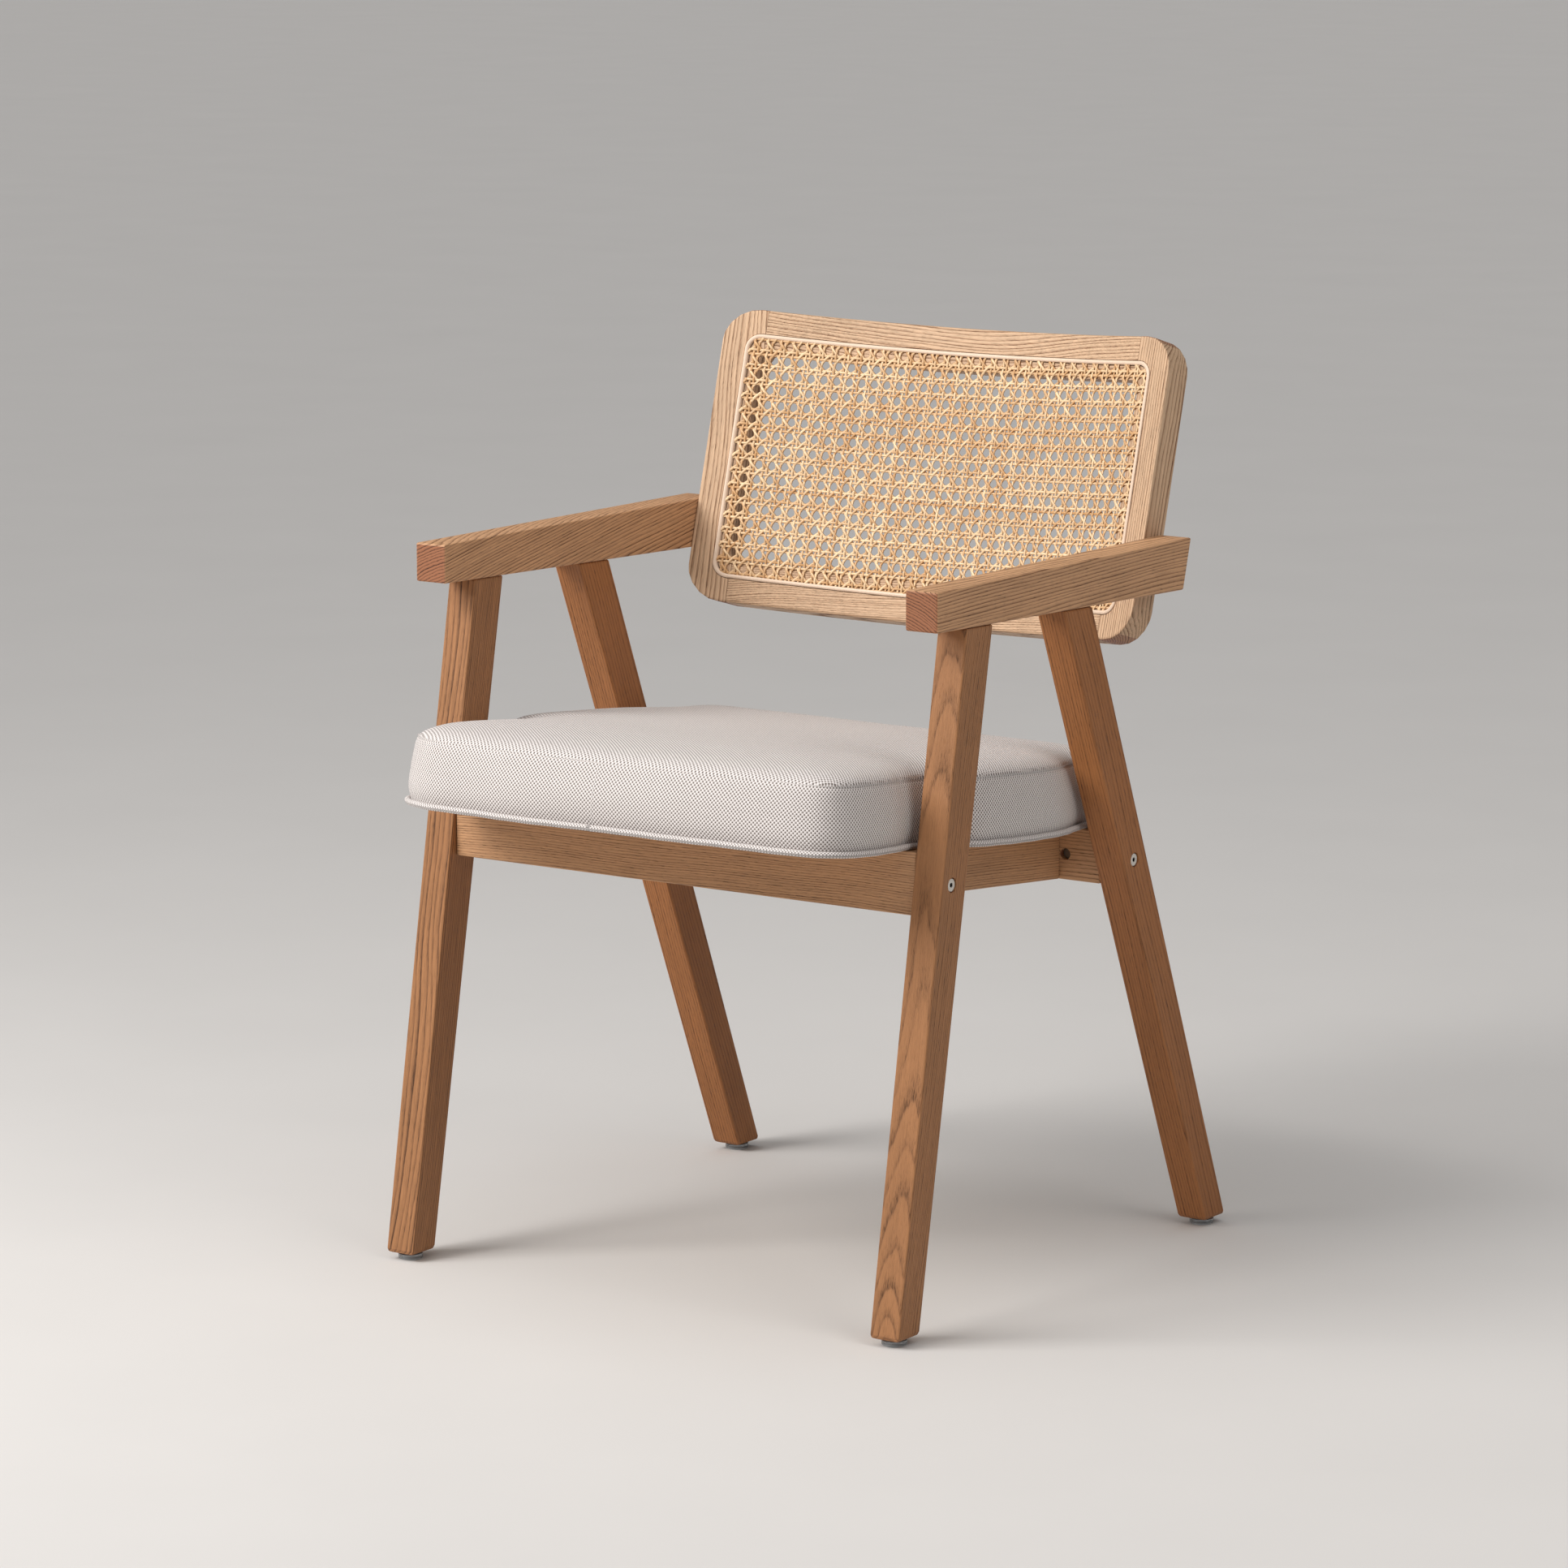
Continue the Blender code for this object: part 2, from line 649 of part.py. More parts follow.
def make_cane(half, low, high, corner):
    inset = 2 * GAP
    columns = rounded_columns(half - inset, low + inset, high - inset, corner - inset,
                              -half + inset, half - inset, 20)
    front = LEDGE_DEPTH - GAP - CANE_THICKNESS
    cane = add_object("cane_panel", mesh_from(column_solid(columns, front, front + CANE_THICKNESS)),
                      (0.72, 0.50, 0.26, 1.0), 0.5)
    shade_round(cane)


def add_back_tenons(side, sign, stile, top_rail, bottom_rail):
    """A loose tenon across each joint between a stile and a rail."""
    joint_u = sign * (BACK_HALF_WIDTH - MEMBER_WIDTH)
    up = Vector((0.0, sin(BACK_LEAN), cos(BACK_LEAN)))
    behind = Vector((0.0, cos(BACK_LEAN), -sin(BACK_LEAN)))
    turn = Matrix((up, behind, Vector((1.0, 0.0, 0.0)))).transposed()
    joints = (
        ("top", BACK_HIGH - MEMBER_WIDTH / 2, top_rail),
        ("bottom", BACK_LOW + MEMBER_WIDTH / 2, bottom_rail),
    )
    for place, w, rail in joints:
        centre = back_point(joint_u, w, BACK_THICKNESS / 2)
        add_tenon(f"back_tenon_{place}_{side}", centre, turn, (0.0080, 0.0220, 0.0300), (stile, rail))


def add_back_dowels(side, sign, stile, arm):
    """Two dowels hold each stile to the arm beside it."""
    length = 0.0320
    for index, z in enumerate((0.6290, 0.6070)):
        front_face = BACK_Y + (z - BACK_Z) * tan(BACK_LEAN)
        start = (sign * (ARM_INNER - length / 2), front_face + 0.0150, z)
        add_dowel(f"back_dowel_{side}_{index + 1}", start, (sign, 0.0, 0.0), length, (stile, arm))


# Seat

def seat_outline(inset):
    """The seat's outline moved in by an inset: (x, y) points, anticlockwise from the front."""
    half = list(SEAT_HALF_OUTLINE)
    whole = half + [(-x, y) for x, y in reversed(half[1:-1])]
    moved = []
    for i, (x, y) in enumerate(whole):
        (x0, y0), (x1, y1) = whole[i - 1], whole[(i + 1) % len(whole)]
        run = hypot(x1 - x0, y1 - y0)
        moved.append((x - inset * (y1 - y0) / run, y + inset * (x1 - x0) / run))
    return moved


def seat_ring(inset, height, share=1.0):
    """A ring of the seat in its tilted frame, shrunk to a share of its size about its middle.

    The tilted frame's origin is on the front rail's top edge.
    """
    slope_length = sqrt(1 + SEAT_SLOPE**2)
    middle = (SEAT_HALF_OUTLINE[0][1] + SEAT_HALF_OUTLINE[-1][1]) / 2
    return [
        (x * share, (middle + (y - middle) * share - FRONT_RAIL_FACE) * slope_length, height)
        for x, y in seat_outline(inset)
    ]


def place_on_seat(obj, frame):
    obj.parent = frame
    return obj


def make_seat_frame():
    """The seat's tilted frame, just above the rails."""
    frame = bpy.data.objects.new("seat_frame", None)
    bpy.context.scene.collection.objects.link(frame)
    frame.location = (0.0, FRONT_RAIL_FACE, SEAT_EDGE_Z + GAP)
    frame.rotation_euler = (-atan(SEAT_SLOPE), 0.0, 0.0)
    return frame


def make_seat_board(frame, screw_holes):
    inset = 2 * PIPING_RADIUS + COVER_THICKNESS + 2 * GAP
    bm = loft([seat_ring(inset, 0.0), seat_ring(inset, BOARD_THICKNESS)])
    board = place_on_seat(add_object("seat_board", mesh_from(bm), (0.55, 0.40, 0.24, 1.0), 0.7), frame)
    cut(board, screw_holes)
    return board


def crowned_rings(inset, top):
    """The rings from the top of the seat's wall to its raised middle."""
    return [seat_ring(inset, top + rise * SEAT_CROWN, share) for share, rise in CROWN_STEPS]


def make_foam(frame):
    inset = 2 * PIPING_RADIUS + COVER_THICKNESS + 2 * GAP
    top = SEAT_WALL_HEIGHT - COVER_THICKNESS - 2 * GAP
    base = seat_ring(inset, BOARD_THICKNESS + GAP)
    bm = loft([base] + crowned_rings(inset, top))
    place_on_seat(add_object("seat_foam", mesh_from(bm), (0.85, 0.78, 0.55, 1.0), 0.9), frame)


def make_cover(frame):
    """The boxed fabric cover: a shell over the foam and the board, open underneath."""
    outside = 2 * PIPING_RADIUS
    inside = outside + COVER_THICKNESS
    inner_shell = [seat_ring(inside, 0.0)] + crowned_rings(inside, SEAT_WALL_HEIGHT - COVER_THICKNESS)
    outer_shell = [seat_ring(outside, 0.0)] + crowned_rings(outside, SEAT_WALL_HEIGHT)
    bm = shell_between(inner_shell, outer_shell)
    place_on_seat(add_object("seat_cover", mesh_from(bm), (0.72, 0.66, 0.61, 1.0), 0.9), frame)


def make_piping(frame):
    """A cord sewn round the cover's bottom edge."""
    sides = 6
    rings = []
    path = seat_outline(PIPING_RADIUS)
    slope_length = sqrt(1 + SEAT_SLOPE**2)
    for i, (x, y) in enumerate(path):
        (x0, y0), (x1, y1) = path[i - 1], path[(i + 1) % len(path)]
        run = hypot(x1 - x0, y1 - y0)
        outward = ((y1 - y0) / run, (x0 - x1) / run)
        radius = PIPING_RADIUS - GAP
        rings.append([
            (x + outward[0] * radius * cos(a),
             (y + outward[1] * radius * cos(a) - FRONT_RAIL_FACE) * slope_length,
             PIPING_RADIUS + radius * sin(a))
            for a in (2 * pi * k / sides for k in range(sides))
        ])
    piping = add_object("seat_piping", mesh_from(loft(rings, closed_ends=False)), (0.78, 0.73, 0.68, 1.0), 0.9)
    place_on_seat(piping, frame)
    shade_round(piping)


def screw_mesh():
    """A countersunk screw along +Z from its head."""
    steps = (
        (SCREW_HEAD_RADIUS, 0.0),
        (SCREW_RADIUS, SCREW_HEAD_RADIUS - SCREW_RADIUS),
        (SCREW_RADIUS, SCREW_LENGTH - 0.0040),
        (0.0005, SCREW_LENGTH),
    )
    turns = [2 * pi * (i + 0.5) / 12 for i in range(12)]
    return mesh_from(loft([[(r * cos(a), r * sin(a), z) for a in turns] for r, z in steps]))


def add_seat_screw(place, side, sign, y, rail):
    """A screw from below, through a counterbore in the side rail, into the seat board."""
    x = sign * (SIDE_RAIL_OUTER - RAIL_THICKNESS / 2)
    up = Vector((0.0, SEAT_SLOPE, 1.0)).normalized()
    rail_top = Vector((x, y, seat_plane(y)))
    head = rail_top - up * (SCREW_LENGTH - 0.0090)
    tag = f"{place}_{side}"
    screw = add_object("seat_screw_" + tag, screw_mesh(), (0.55, 0.52, 0.45, 1.0), 0.35, 1.0)
    along(screw, head, up)
    shade_round(screw)
    counterbore_foot = head - up * 0.0300
    counterbore = hole("counterbore_" + tag, counterbore_foot, up, SCREW_HEAD_RADIUS + 2 * GAP,
                       0.0300 + SCREW_HEAD_RADIUS - SCREW_RADIUS + GAP, 12)
    pilot = hole("pilot_" + tag, head, up, SCREW_RADIUS + 2 * GAP, SCREW_LENGTH + 0.0010, 12)
    cut(rail, [counterbore, pilot])
    return pilot


# Assembly

def build():
    clear_scene()
    front_rail = make_cross_rail("front_rail", FRONT_RAIL_FACE, FRONT_RAIL_BOTTOM)
    rear_rail = make_cross_rail("rear_rail", REAR_RAIL_FACE, rear_rail_bottom())
    top_rail = make_back_rail("back_top_rail", BACK_HIGH - MEMBER_WIDTH, BACK_HIGH, False, True)
    bottom_rail = make_back_rail("back_bottom_rail", BACK_LOW, BACK_LOW + MEMBER_WIDTH, True, False)
    stiles = []
    pilots = []
    front_centre = FRONT_RAIL_FACE + RAIL_THICKNESS / 2
    rear_centre = REAR_RAIL_FACE + RAIL_THICKNESS / 2
    for side, sign in SIDES:
        arm = make_arm(side, sign)
        stile = make_stile(side, sign)
        stiles.append(stile)
        side_rail = make_side_rail(side, sign)
        ends = (
            ("front", FRONT_LEG_EDGES, front_rail, front_centre, FRONT_BOLT_Z, 1),
            ("rear", REAR_LEG_EDGES, rear_rail, rear_centre, REAR_BOLT_Z, -1),
        )
        for place, edges, rail, centre_y, bolt_z, nut_side in ends:
            leg = make_leg(place, side, sign, edges)
            make_glide(place, side, sign, edges)
            add_leg_dowels(place, side, sign, edges, leg, arm)
            add_bolt(place, side, sign, centre_y, bolt_z, leg, rail, nut_side)
            add_rail_dowel(place, side, sign, centre_y, bolt_z - 0.0150, leg, rail)
        add_side_rail_tenons(side, sign, side_rail, front_rail, rear_rail)
        add_back_tenons(side, sign, stile, top_rail, bottom_rail)
        add_back_dowels(side, sign, stile, arm)
        for place, y in (("front", -0.0900), ("rear", 0.0560)):
            pilots.append(add_seat_screw(place, side, sign, y, side_rail))
    make_cane_and_spline([top_rail, bottom_rail] + stiles)
    frame = make_seat_frame()
    make_seat_board(frame, pilots)
    make_foam(frame)
    make_cover(frame)
    make_piping(frame)


build()
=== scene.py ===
"""The visible armchair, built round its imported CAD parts.

The timber, steel and plastic pieces keep their CAD shapes and get worked materials. The cane webbing, its
reed spline, the padded seat and its piping are modelled here and stand for plainer CAD solids. Lengths are
in metres unless a name ends in MM.
"""

from math import atan, cos, pi, radians, sin, sqrt

import bpy
import numpy as np
from mathutils import Matrix, Vector
from mathutils.bvhtree import BVHTree


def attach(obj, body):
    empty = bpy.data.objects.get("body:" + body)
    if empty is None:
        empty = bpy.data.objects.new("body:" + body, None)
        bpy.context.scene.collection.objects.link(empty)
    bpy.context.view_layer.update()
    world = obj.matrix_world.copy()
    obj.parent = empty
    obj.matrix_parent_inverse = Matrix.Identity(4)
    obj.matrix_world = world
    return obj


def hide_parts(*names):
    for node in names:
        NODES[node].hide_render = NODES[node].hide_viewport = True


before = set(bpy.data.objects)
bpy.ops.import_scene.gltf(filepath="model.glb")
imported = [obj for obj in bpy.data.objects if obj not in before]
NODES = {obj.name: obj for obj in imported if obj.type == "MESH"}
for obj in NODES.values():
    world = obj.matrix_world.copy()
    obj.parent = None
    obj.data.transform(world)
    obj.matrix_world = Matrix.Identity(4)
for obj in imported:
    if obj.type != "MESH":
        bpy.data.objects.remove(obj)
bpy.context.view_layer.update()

# View
CAMERA_PLACE = (3.0163, -4.4216, 1.3777)
CAMERA_PITCH = radians(-10.11)
CAMERA_TURN = radians(34.41)
CAMERA_LENS_MM = 140.06
FLOOR_SIZE = 60.0

# Back. The reed is a little narrower than the CAD spline, so that its edges show as lines
BACK_HALF_WIDTH = 0.2424
BACK_LEAN = radians(15.3)
BACK_SAGITTA = 0.0372
BACK_Y = 0.2065
BACK_Z = 0.6875
BACK_LOW = -0.1411
BACK_HIGH = 0.1343
BACK_RADIUS = (BACK_HALF_WIDTH**2 + BACK_SAGITTA**2) / (2 * BACK_SAGITTA)
SPLINE_INSET = 0.0225
SPLINE_WIDTH = 0.0042
SPLINE_CORNER = 0.0150
SPLINE_DEPTH = 0.0045
SPLINE_DOME = 0.0014     # how far the reed stands proud of the frame

# Cane webbing: strands on a grid of holes
HOLE_PITCH_ACROSS = 0.0130
HOLE_PITCH_UP = 0.0140
FIRST_COLUMN = -0.2050   # arc length from the middle of the back
TOP_ROW = 0.1043         # height along the lean, at the middle
ROW_RISE = 0.0125        # the rows climb towards the sitter's left
PAIR_HALF_GAP = 0.0019   # from the middle of a pair of strands to each strand
STRAND_WIDTH = 0.0024
STRAND_THICKNESS = 0.0009
DIAGONAL_WIDTH = 0.0026
DIAGONAL_THICKNESS = 0.0008
DIAGONAL_WAVE = 0.00085
PAIR_WAVE = 0.00050
CANE_DEPTH = 0.00035     # middle of the webbing behind the frame's face
STEPS_PER_PITCH = 8

# Seat. The outline is rounder at one corner and straighter by the rear legs than the CAD seat
FRONT_RAIL_FACE = -0.1778
SEAT_EDGE_Z = 0.4154
SEAT_SLOPE = 0.0910
SEAT_GAP = 0.0003
BOARD_THICKNESS = 0.0120
SEAT_WALL_HEIGHT = 0.0610
SEAM_AT_FRONT = 0.15     # the seam is drawn in less along the front and the back
SEAM_PROFILE = ((-2, 0.0005), (-1, 0.0013), (0, -0.0007), (1, 0.0013), (2, 0.0005))   # ring, depth
PIPING_RADIUS = 0.0027
SEAT_LEFT_OUTLINE = (
    (0.0, -0.3110), (0.1000, -0.3095), (0.1880, -0.3050), (0.2200, -0.2990), (0.2360, -0.2860),
    (0.2430, -0.2650), (0.2435, -0.2350), (0.2400, -0.1950), (0.2360, -0.1750), (0.2350, -0.1400),
    (0.2400, -0.1200), (0.2540, -0.1060), (0.2600, -0.0800), (0.2595, -0.0100), (0.2550, 0.0350),
    (0.2490, 0.0600), (0.2425, 0.0800), (0.2365, 0.1000), (0.2310, 0.1200), (0.2290, 0.1480),
    (0.2200, 0.1690), (0.1980, 0.1790), (0.0, 0.1830),
)
# The sitter's right front corner is rounder. The rest of that side mirrors the left.
SEAT_RIGHT_CORNER = (
    (-0.0880, -0.3130), (-0.1440, -0.3090), (-0.1765, -0.3060), (-0.1980, -0.2990), (-0.2160, -0.2870),
    (-0.2300, -0.2700), (-0.2385, -0.2500),
)
RIGHT_CORNER_REPLACES = 7   # points of the left outline after the first
SEAT_POINTS = 480
SEAT_MIDDLE = (0.0, -0.0640)
VOXEL = 0.005
PRESSURE = 1.6
CLOTH_STIFFNESS = 60.0
CLOTH_BENDING = 12.0
CLOTH_QUALITY = 5
HELD_BELOW = 0.006       # the cover is held to the board under this height
CLOTH_FRAMES = 20
MOST_SWELL = 0.0035
EVENING_PASSES = 60      # rounds of averaging each point's move with its neighbours' moves
FREE_FROM, FREE_ABOVE = 0.004, 0.030   # heights between which the wall comes free of the piping
START_SHRINK = 0.0015


# Node graphs


class Graph:
    """One material's node tree. A value given to a socket is a number, a colour or another node's output."""

    def __init__(self, name):
        self.material = bpy.data.materials.new(name)
        self.material.use_nodes = True
        self.tree = self.material.node_tree
        self.shader = self.tree.nodes["Principled BSDF"]

    def node(self, kind, inputs=None, **settings):
        node = self.tree.nodes.new("ShaderNode" + kind)
        for key, value in settings.items():
            setattr(node, key, value)
        for socket, value in (inputs or {}).items():
            self.feed(node.inputs[socket], value)
        return node

    def feed(self, socket, value):
        if isinstance(value, bpy.types.NodeSocket):
            self.tree.links.new(value, socket)
        else:
            socket.default_value = value

    def math(self, operation, *values):
        return self.node("Math", dict(enumerate(values)), operation=operation).outputs[0]

    def add(self, a, b):
        return self.math("ADD", a, b)

    def times(self, a, b):
        return self.math("MULTIPLY", a, b)

    def vector(self, operation, a, b):
        return self.node("VectorMath", {0: a, 1: b}, operation=operation).outputs[0]

    def split(self, vector):
        return self.node("SeparateXYZ", {0: vector}).outputs

    def join(self, x, y, z):
        return self.node("CombineXYZ", {0: x, 1: y, 2: z}).outputs[0]

    def noise(self, vector, detail=2.0, roughness=0.5):
        """Noise about zero, within about half a unit either way."""
        node = self.node("TexNoise", {"Vector": vector, "Scale": 1.0, "Detail": detail,
                                      "Roughness": roughness})
        return self.math("SUBTRACT", node.outputs["Fac"], 0.5)

    def cells(self, value):
        """A number from 0 to 1 that changes with the whole part of the value."""
        whole = self.math("FLOOR", value)
        return self.node("TexWhiteNoise", {"W": whole}, noise_dimensions="1D").outputs["Value"]

    def steps(self, value, stops, ease="EASE"):
        """A value or a colour that follows the stops: (place, value) pairs."""
        ramp = self.node("ValToRGB", {"Fac": value})
        ramp.color_ramp.interpolation = ease
        points = ramp.color_ramp.elements
        while len(points) < len(stops):
            points.new(0.5)
        for point, (place, shade) in zip(points, stops):
            point.position = place
            point.color = shade if isinstance(shade, tuple) else (shade, shade, shade, 1.0)
        return ramp.outputs["Color"]

    def mix(self, amount, a, b, blend="MIX"):
        node = self.node("Mix", data_type="RGBA", blend_type=blend)
        self.feed(node.inputs[0], amount)
        self.feed(node.inputs[6], a)
        self.feed(node.inputs[7], b)
        return node.outputs[2]

    def shade(self, colour, factor):
        """The colour made lighter or darker by a factor about 1."""
        colour = colour[:3] if isinstance(colour, tuple) else colour
        return self.vector("MULTIPLY", colour, self.join(factor, factor, factor))

    def bump(self, height, distance, strength=1.0):
        node = self.node("Bump", {"Height": height, "Distance": distance, "Strength": strength})
        self.feed(self.shader.inputs["Normal"], node.outputs[0])

    def set(self, **values):
        for name, value in values.items():
            self.feed(self.shader.inputs[name.replace("_", " ")], value)

    def place_mm(self):
        """Object coordinates in millimetres."""
        place = self.node("TexCoord").outputs["Object"]
        return self.vector("MULTIPLY", place, (1000.0, 1000.0, 1000.0))


def colour(red, green, blue):
    """A colour from its screen values, 0 to 255."""
    def linear(value):
        value /= 255
        return value / 12.92 if value <= 0.04045 else ((value + 0.055) / 1.055) ** 2.4
    return (linear(red), linear(green), linear(blue), 1.0)


# Timber


def turned_to(grain, radial):
    """The turn that brings the radial direction to X and the grain to Z."""
    along = Vector(grain).normalized()
    out = Vector(radial)
    out = (out - along * out.dot(along)).normalized()
    return Matrix((out, along.cross(out), along)).to_euler()


def timber(name, grain, radial, pith, spacing=2.8, wander=6.0, tilt=0.0, light=(214, 160, 108),
           dark=(140, 84, 46), contrast=1.0, seed=0.0):
    """Oiled ash: growth rings about a pith, given in mm from the origin along radial and across it.

    Porous early wood makes a dark band at the start of each ring, with short pore dashes in it.
    """
    g = Graph(name)
    place = g.node("Mapping", {"Vector": g.place_mm(), "Rotation": turned_to(grain, radial)}).outputs[0]
    seeded = g.vector("ADD", place, (seed * 137.0, seed * 71.0, seed * 311.0))
    wide = g.noise(g.vector("MULTIPLY", seeded, (1 / 70, 1 / 70, 1 / 260)), 1.0)
    across_wide = g.noise(g.vector("MULTIPLY", seeded, (1 / 55, 1 / 90, 1 / 190)), 1.0)
    small = g.noise(g.vector("MULTIPLY", seeded, (1 / 7, 1 / 7, 1 / 75)), 2.0)
    x, y, z = g.split(place)
    out = g.add(g.add(x, -pith[0]), g.add(g.times(z, tilt), g.times(wide, 2 * wander)))
    across = g.add(g.add(y, -pith[1]), g.times(across_wide, 2 * wander))
    radius = g.math("SQRT", g.add(g.times(out, out), g.times(across, across)))
    radius = g.add(radius, g.times(small, 1.5))
    uneven = g.noise(g.join(g.times(radius, 1 / 9), seed, 0.0), 1.0)
    turns = g.add(g.times(radius, 1 / spacing), g.times(uneven, 1.6))
    ring = g.math("FRACT", turns)
    early = g.steps(ring, ((0.0, 0.35), (0.07, 1.0), (0.26, 0.50), (0.46, 0.14), (0.88, 0.0), (1.0, 0.20)))
    broken = g.noise(g.vector("MULTIPLY", seeded, (1 / 2.2, 1 / 2.2, 1 / 34)), 2.0)
    strength = g.add(g.add(0.50, g.times(g.cells(turns), 0.50)), g.times(broken, 1.1))
    early = g.times(early, strength)
    streak = g.noise(g.vector("MULTIPLY", seeded, (1 / 1.0, 1 / 1.0, 1 / 42)), 3.0, 0.62)
    fibre = g.noise(g.vector("MULTIPLY", seeded, (1 / 0.40, 1 / 0.40, 1 / 22)), 2.0, 0.6)
    pores = g.noise(g.vector("MULTIPLY", seeded, (1 / 0.50, 1 / 0.50, 1 / 7)), 1.0)
    pores = g.times(g.steps(pores, ((0.06, 0.0), (0.18, 1.0)), "LINEAR"), g.add(0.22, early))
    patch = g.noise(g.vector("MULTIPLY", seeded, (1 / 45, 1 / 45, 1 / 150)), 2.0)
    body = g.mix(g.times(early, contrast), colour(*light), colour(*dark))
    body = g.mix(g.times(pores, 0.60), body, colour(*(0.60 * c for c in dark)))
    relief = g.add(g.times(fibre, 0.40), g.add(g.times(streak, 0.75 * contrast), g.times(patch, 0.34)))
    body = g.shade(body, g.add(1.0, relief))
    facing = g.node("VectorMath", {0: g.node("NewGeometry").outputs["Normal"],
                                   1: Vector(grain).normalized()}, operation="DOT_PRODUCT").outputs["Value"]
    end_grain = g.steps(g.math("ABSOLUTE", facing), ((0.80, 0.0), (0.93, 1.0)), "LINEAR")
    ringed = g.mix(g.times(early, 1.2), colour(164, 108, 76), colour(66, 34, 20))
    body = g.mix(end_grain, body, g.shade(ringed, g.add(1.0, g.times(fibre, 0.5))))
    g.set(Base_Color=body, Roughness=g.add(0.50, g.times(g.add(early, fibre), 0.14)), Specular_IOR_Level=0.35)
    height = g.add(g.times(fibre, 0.35), g.times(g.add(g.times(pores, 1.0), g.times(early, 0.45)), -1.0))
    g.bump(height, 0.00025)
    return g.material


WARM_LIGHT, WARM_DARK = (202, 156, 116), (104, 66, 40)
LEG_LIGHT, LEG_DARK = (166, 116, 76), (82, 50, 28)
PALE_LIGHT, PALE_DARK = (214, 179, 145), (126, 82, 49)
FRONT_LEG_GRAIN = (0.0, 0.177, 1.0)
REAR_LEG_GRAIN = (0.0, -0.417, 1.0)
STILE_GRAIN = (0.0, sin(BACK_LEAN), cos(BACK_LEAN))


def timber_for(name, **settings):
    settings.setdefault("light", WARM_LIGHT)
    settings.setdefault("dark", WARM_DARK)
    repaint(name, timber(name + "_ash", **settings))


def repaint(name, material):
    """Gives a CAD piece a better material in place of its plain one."""
    mesh = NODES[name].data
    mesh.materials.clear()
    mesh.materials.append(material)


def paint_timber():
    leg = dict(light=LEG_LIGHT, dark=LEG_DARK)
    rear = dict(light=(166, 108, 62), dark=(90, 52, 26), contrast=0.62, wander=2.5)
    timber_for("arm_left", grain=(0, 1, 0.02), radial=(0, 0, 1), pith=(560, 230), wander=3,
               spacing=2.5, seed=1)
    timber_for("arm_right", grain=(0, 1, 0.20), radial=(0, 0, 1), pith=(540, -210), wander=4,
               spacing=2.7, seed=2)
    timber_for("leg_front_left", grain=FRONT_LEG_GRAIN, radial=(0, -1, 0.177), pith=(203, 263), tilt=0.045,
               wander=8, contrast=0.52, seed=3, **leg)
    timber_for("leg_front_right", grain=FRONT_LEG_GRAIN, radial=(0, -1, 0.177), pith=(120, -200), spacing=2.3,
               seed=4, **leg)
    timber_for("leg_rear_left", grain=REAR_LEG_GRAIN, radial=(0, -1, -0.417), pith=(-330, 150), spacing=2.3,
               seed=5, **rear)
    timber_for("leg_rear_right", grain=REAR_LEG_GRAIN, radial=(0, -1, -0.417), pith=(-330, -150), spacing=2.4,
               seed=6, **rear)
    rail = dict(light=(196, 150, 110), contrast=0.75, spacing=2.3)
    timber_for("front_rail", grain=(1, 0, 0.02), radial=(0, -0.3, 1), pith=(330, 120), tilt=0.01,
               seed=7, **rail)
    timber_for("rear_rail", grain=(1, 0, 0), radial=(0, 0.3, 1), pith=(310, 30), seed=8, **rail)
    timber_for("side_rail_left", grain=(0, 1, -0.09), radial=(0, 0, 1), pith=(150, 190), wander=3,
               seed=9, **rail)
    timber_for("side_rail_right", grain=(0, 1, -0.09), radial=(0, 0, 1), pith=(150, -190), wander=3,
               seed=10, **rail)
    pale = dict(light=PALE_LIGHT, dark=PALE_DARK, contrast=1.05)
    timber_for("back_top_rail", grain=(1, 0, 0), radial=STILE_GRAIN, pith=(765, -18), wander=9, seed=11,
               spacing=3.3, light=PALE_LIGHT, dark=PALE_DARK, contrast=1.2)
    timber_for("back_bottom_rail", grain=(1, 0, 0.05), radial=STILE_GRAIN, pith=(500, -60), spacing=2.2,
               seed=12, **pale)
    timber_for("back_stile_left", grain=STILE_GRAIN, radial=(1, 0, 0), pith=(150, 0), spacing=2.4, seed=13,
               **pale)
    timber_for("back_stile_right", grain=STILE_GRAIN, radial=(1, 0, 0), pith=(-262, -40), tilt=0.03,
               wander=12,
               spacing=3.4, seed=14, **pale)


# Hardware and hidden pieces


def steel(name, tint, roughness, socket_shade_mm=None):
    """Plated steel with fine turned lines.

    A socket gets painted shade: it is dark up to the first of two distances from the chair's middle and
    bright from the second.
    """
    g = Graph(name)
    place = g.place_mm()
    lines = g.noise(g.vector("MULTIPLY", place, (14.0, 1.2, 1.2)), 2.0)
    patch = g.noise(g.vector("MULTIPLY", place, (0.6, 0.6, 0.6)), 2.0)
    body = g.shade(colour(*tint), g.add(1.0, g.add(g.times(lines, 0.16), g.times(patch, 0.2))))
    if socket_shade_mm:
        distance = g.math("ABSOLUTE", g.split(place)[0])
        # Painted shade: the socket's recess is coloured near black.
        unshaded_face = g.steps(g.add(distance, -socket_shade_mm[0]), ((0.0, 0.0), (socket_shade_mm[1] - socket_shade_mm[0], 1.0)))
        body = g.mix(unshaded_face, colour(26, 22, 19), body)
    g.set(Base_Color=body, Metallic=0.85, Roughness=g.add(roughness, g.times(lines, 0.15)))
    g.bump(lines, 0.00002)
    return g.material


def clear_plastic():
    g = Graph("clear_glide_plastic")
    haze = g.noise(g.vector("MULTIPLY", g.place_mm(), (0.5, 0.5, 0.5)), 3.0)
    g.set(Base_Color=g.shade(colour(226, 230, 232), g.add(1.0, g.times(haze, 0.08))),
          Roughness=g.add(0.22, g.times(haze, 0.2)), Transmission_Weight=0.75, IOR=1.46)
    g.bump(haze, 0.00006)
    return g.material


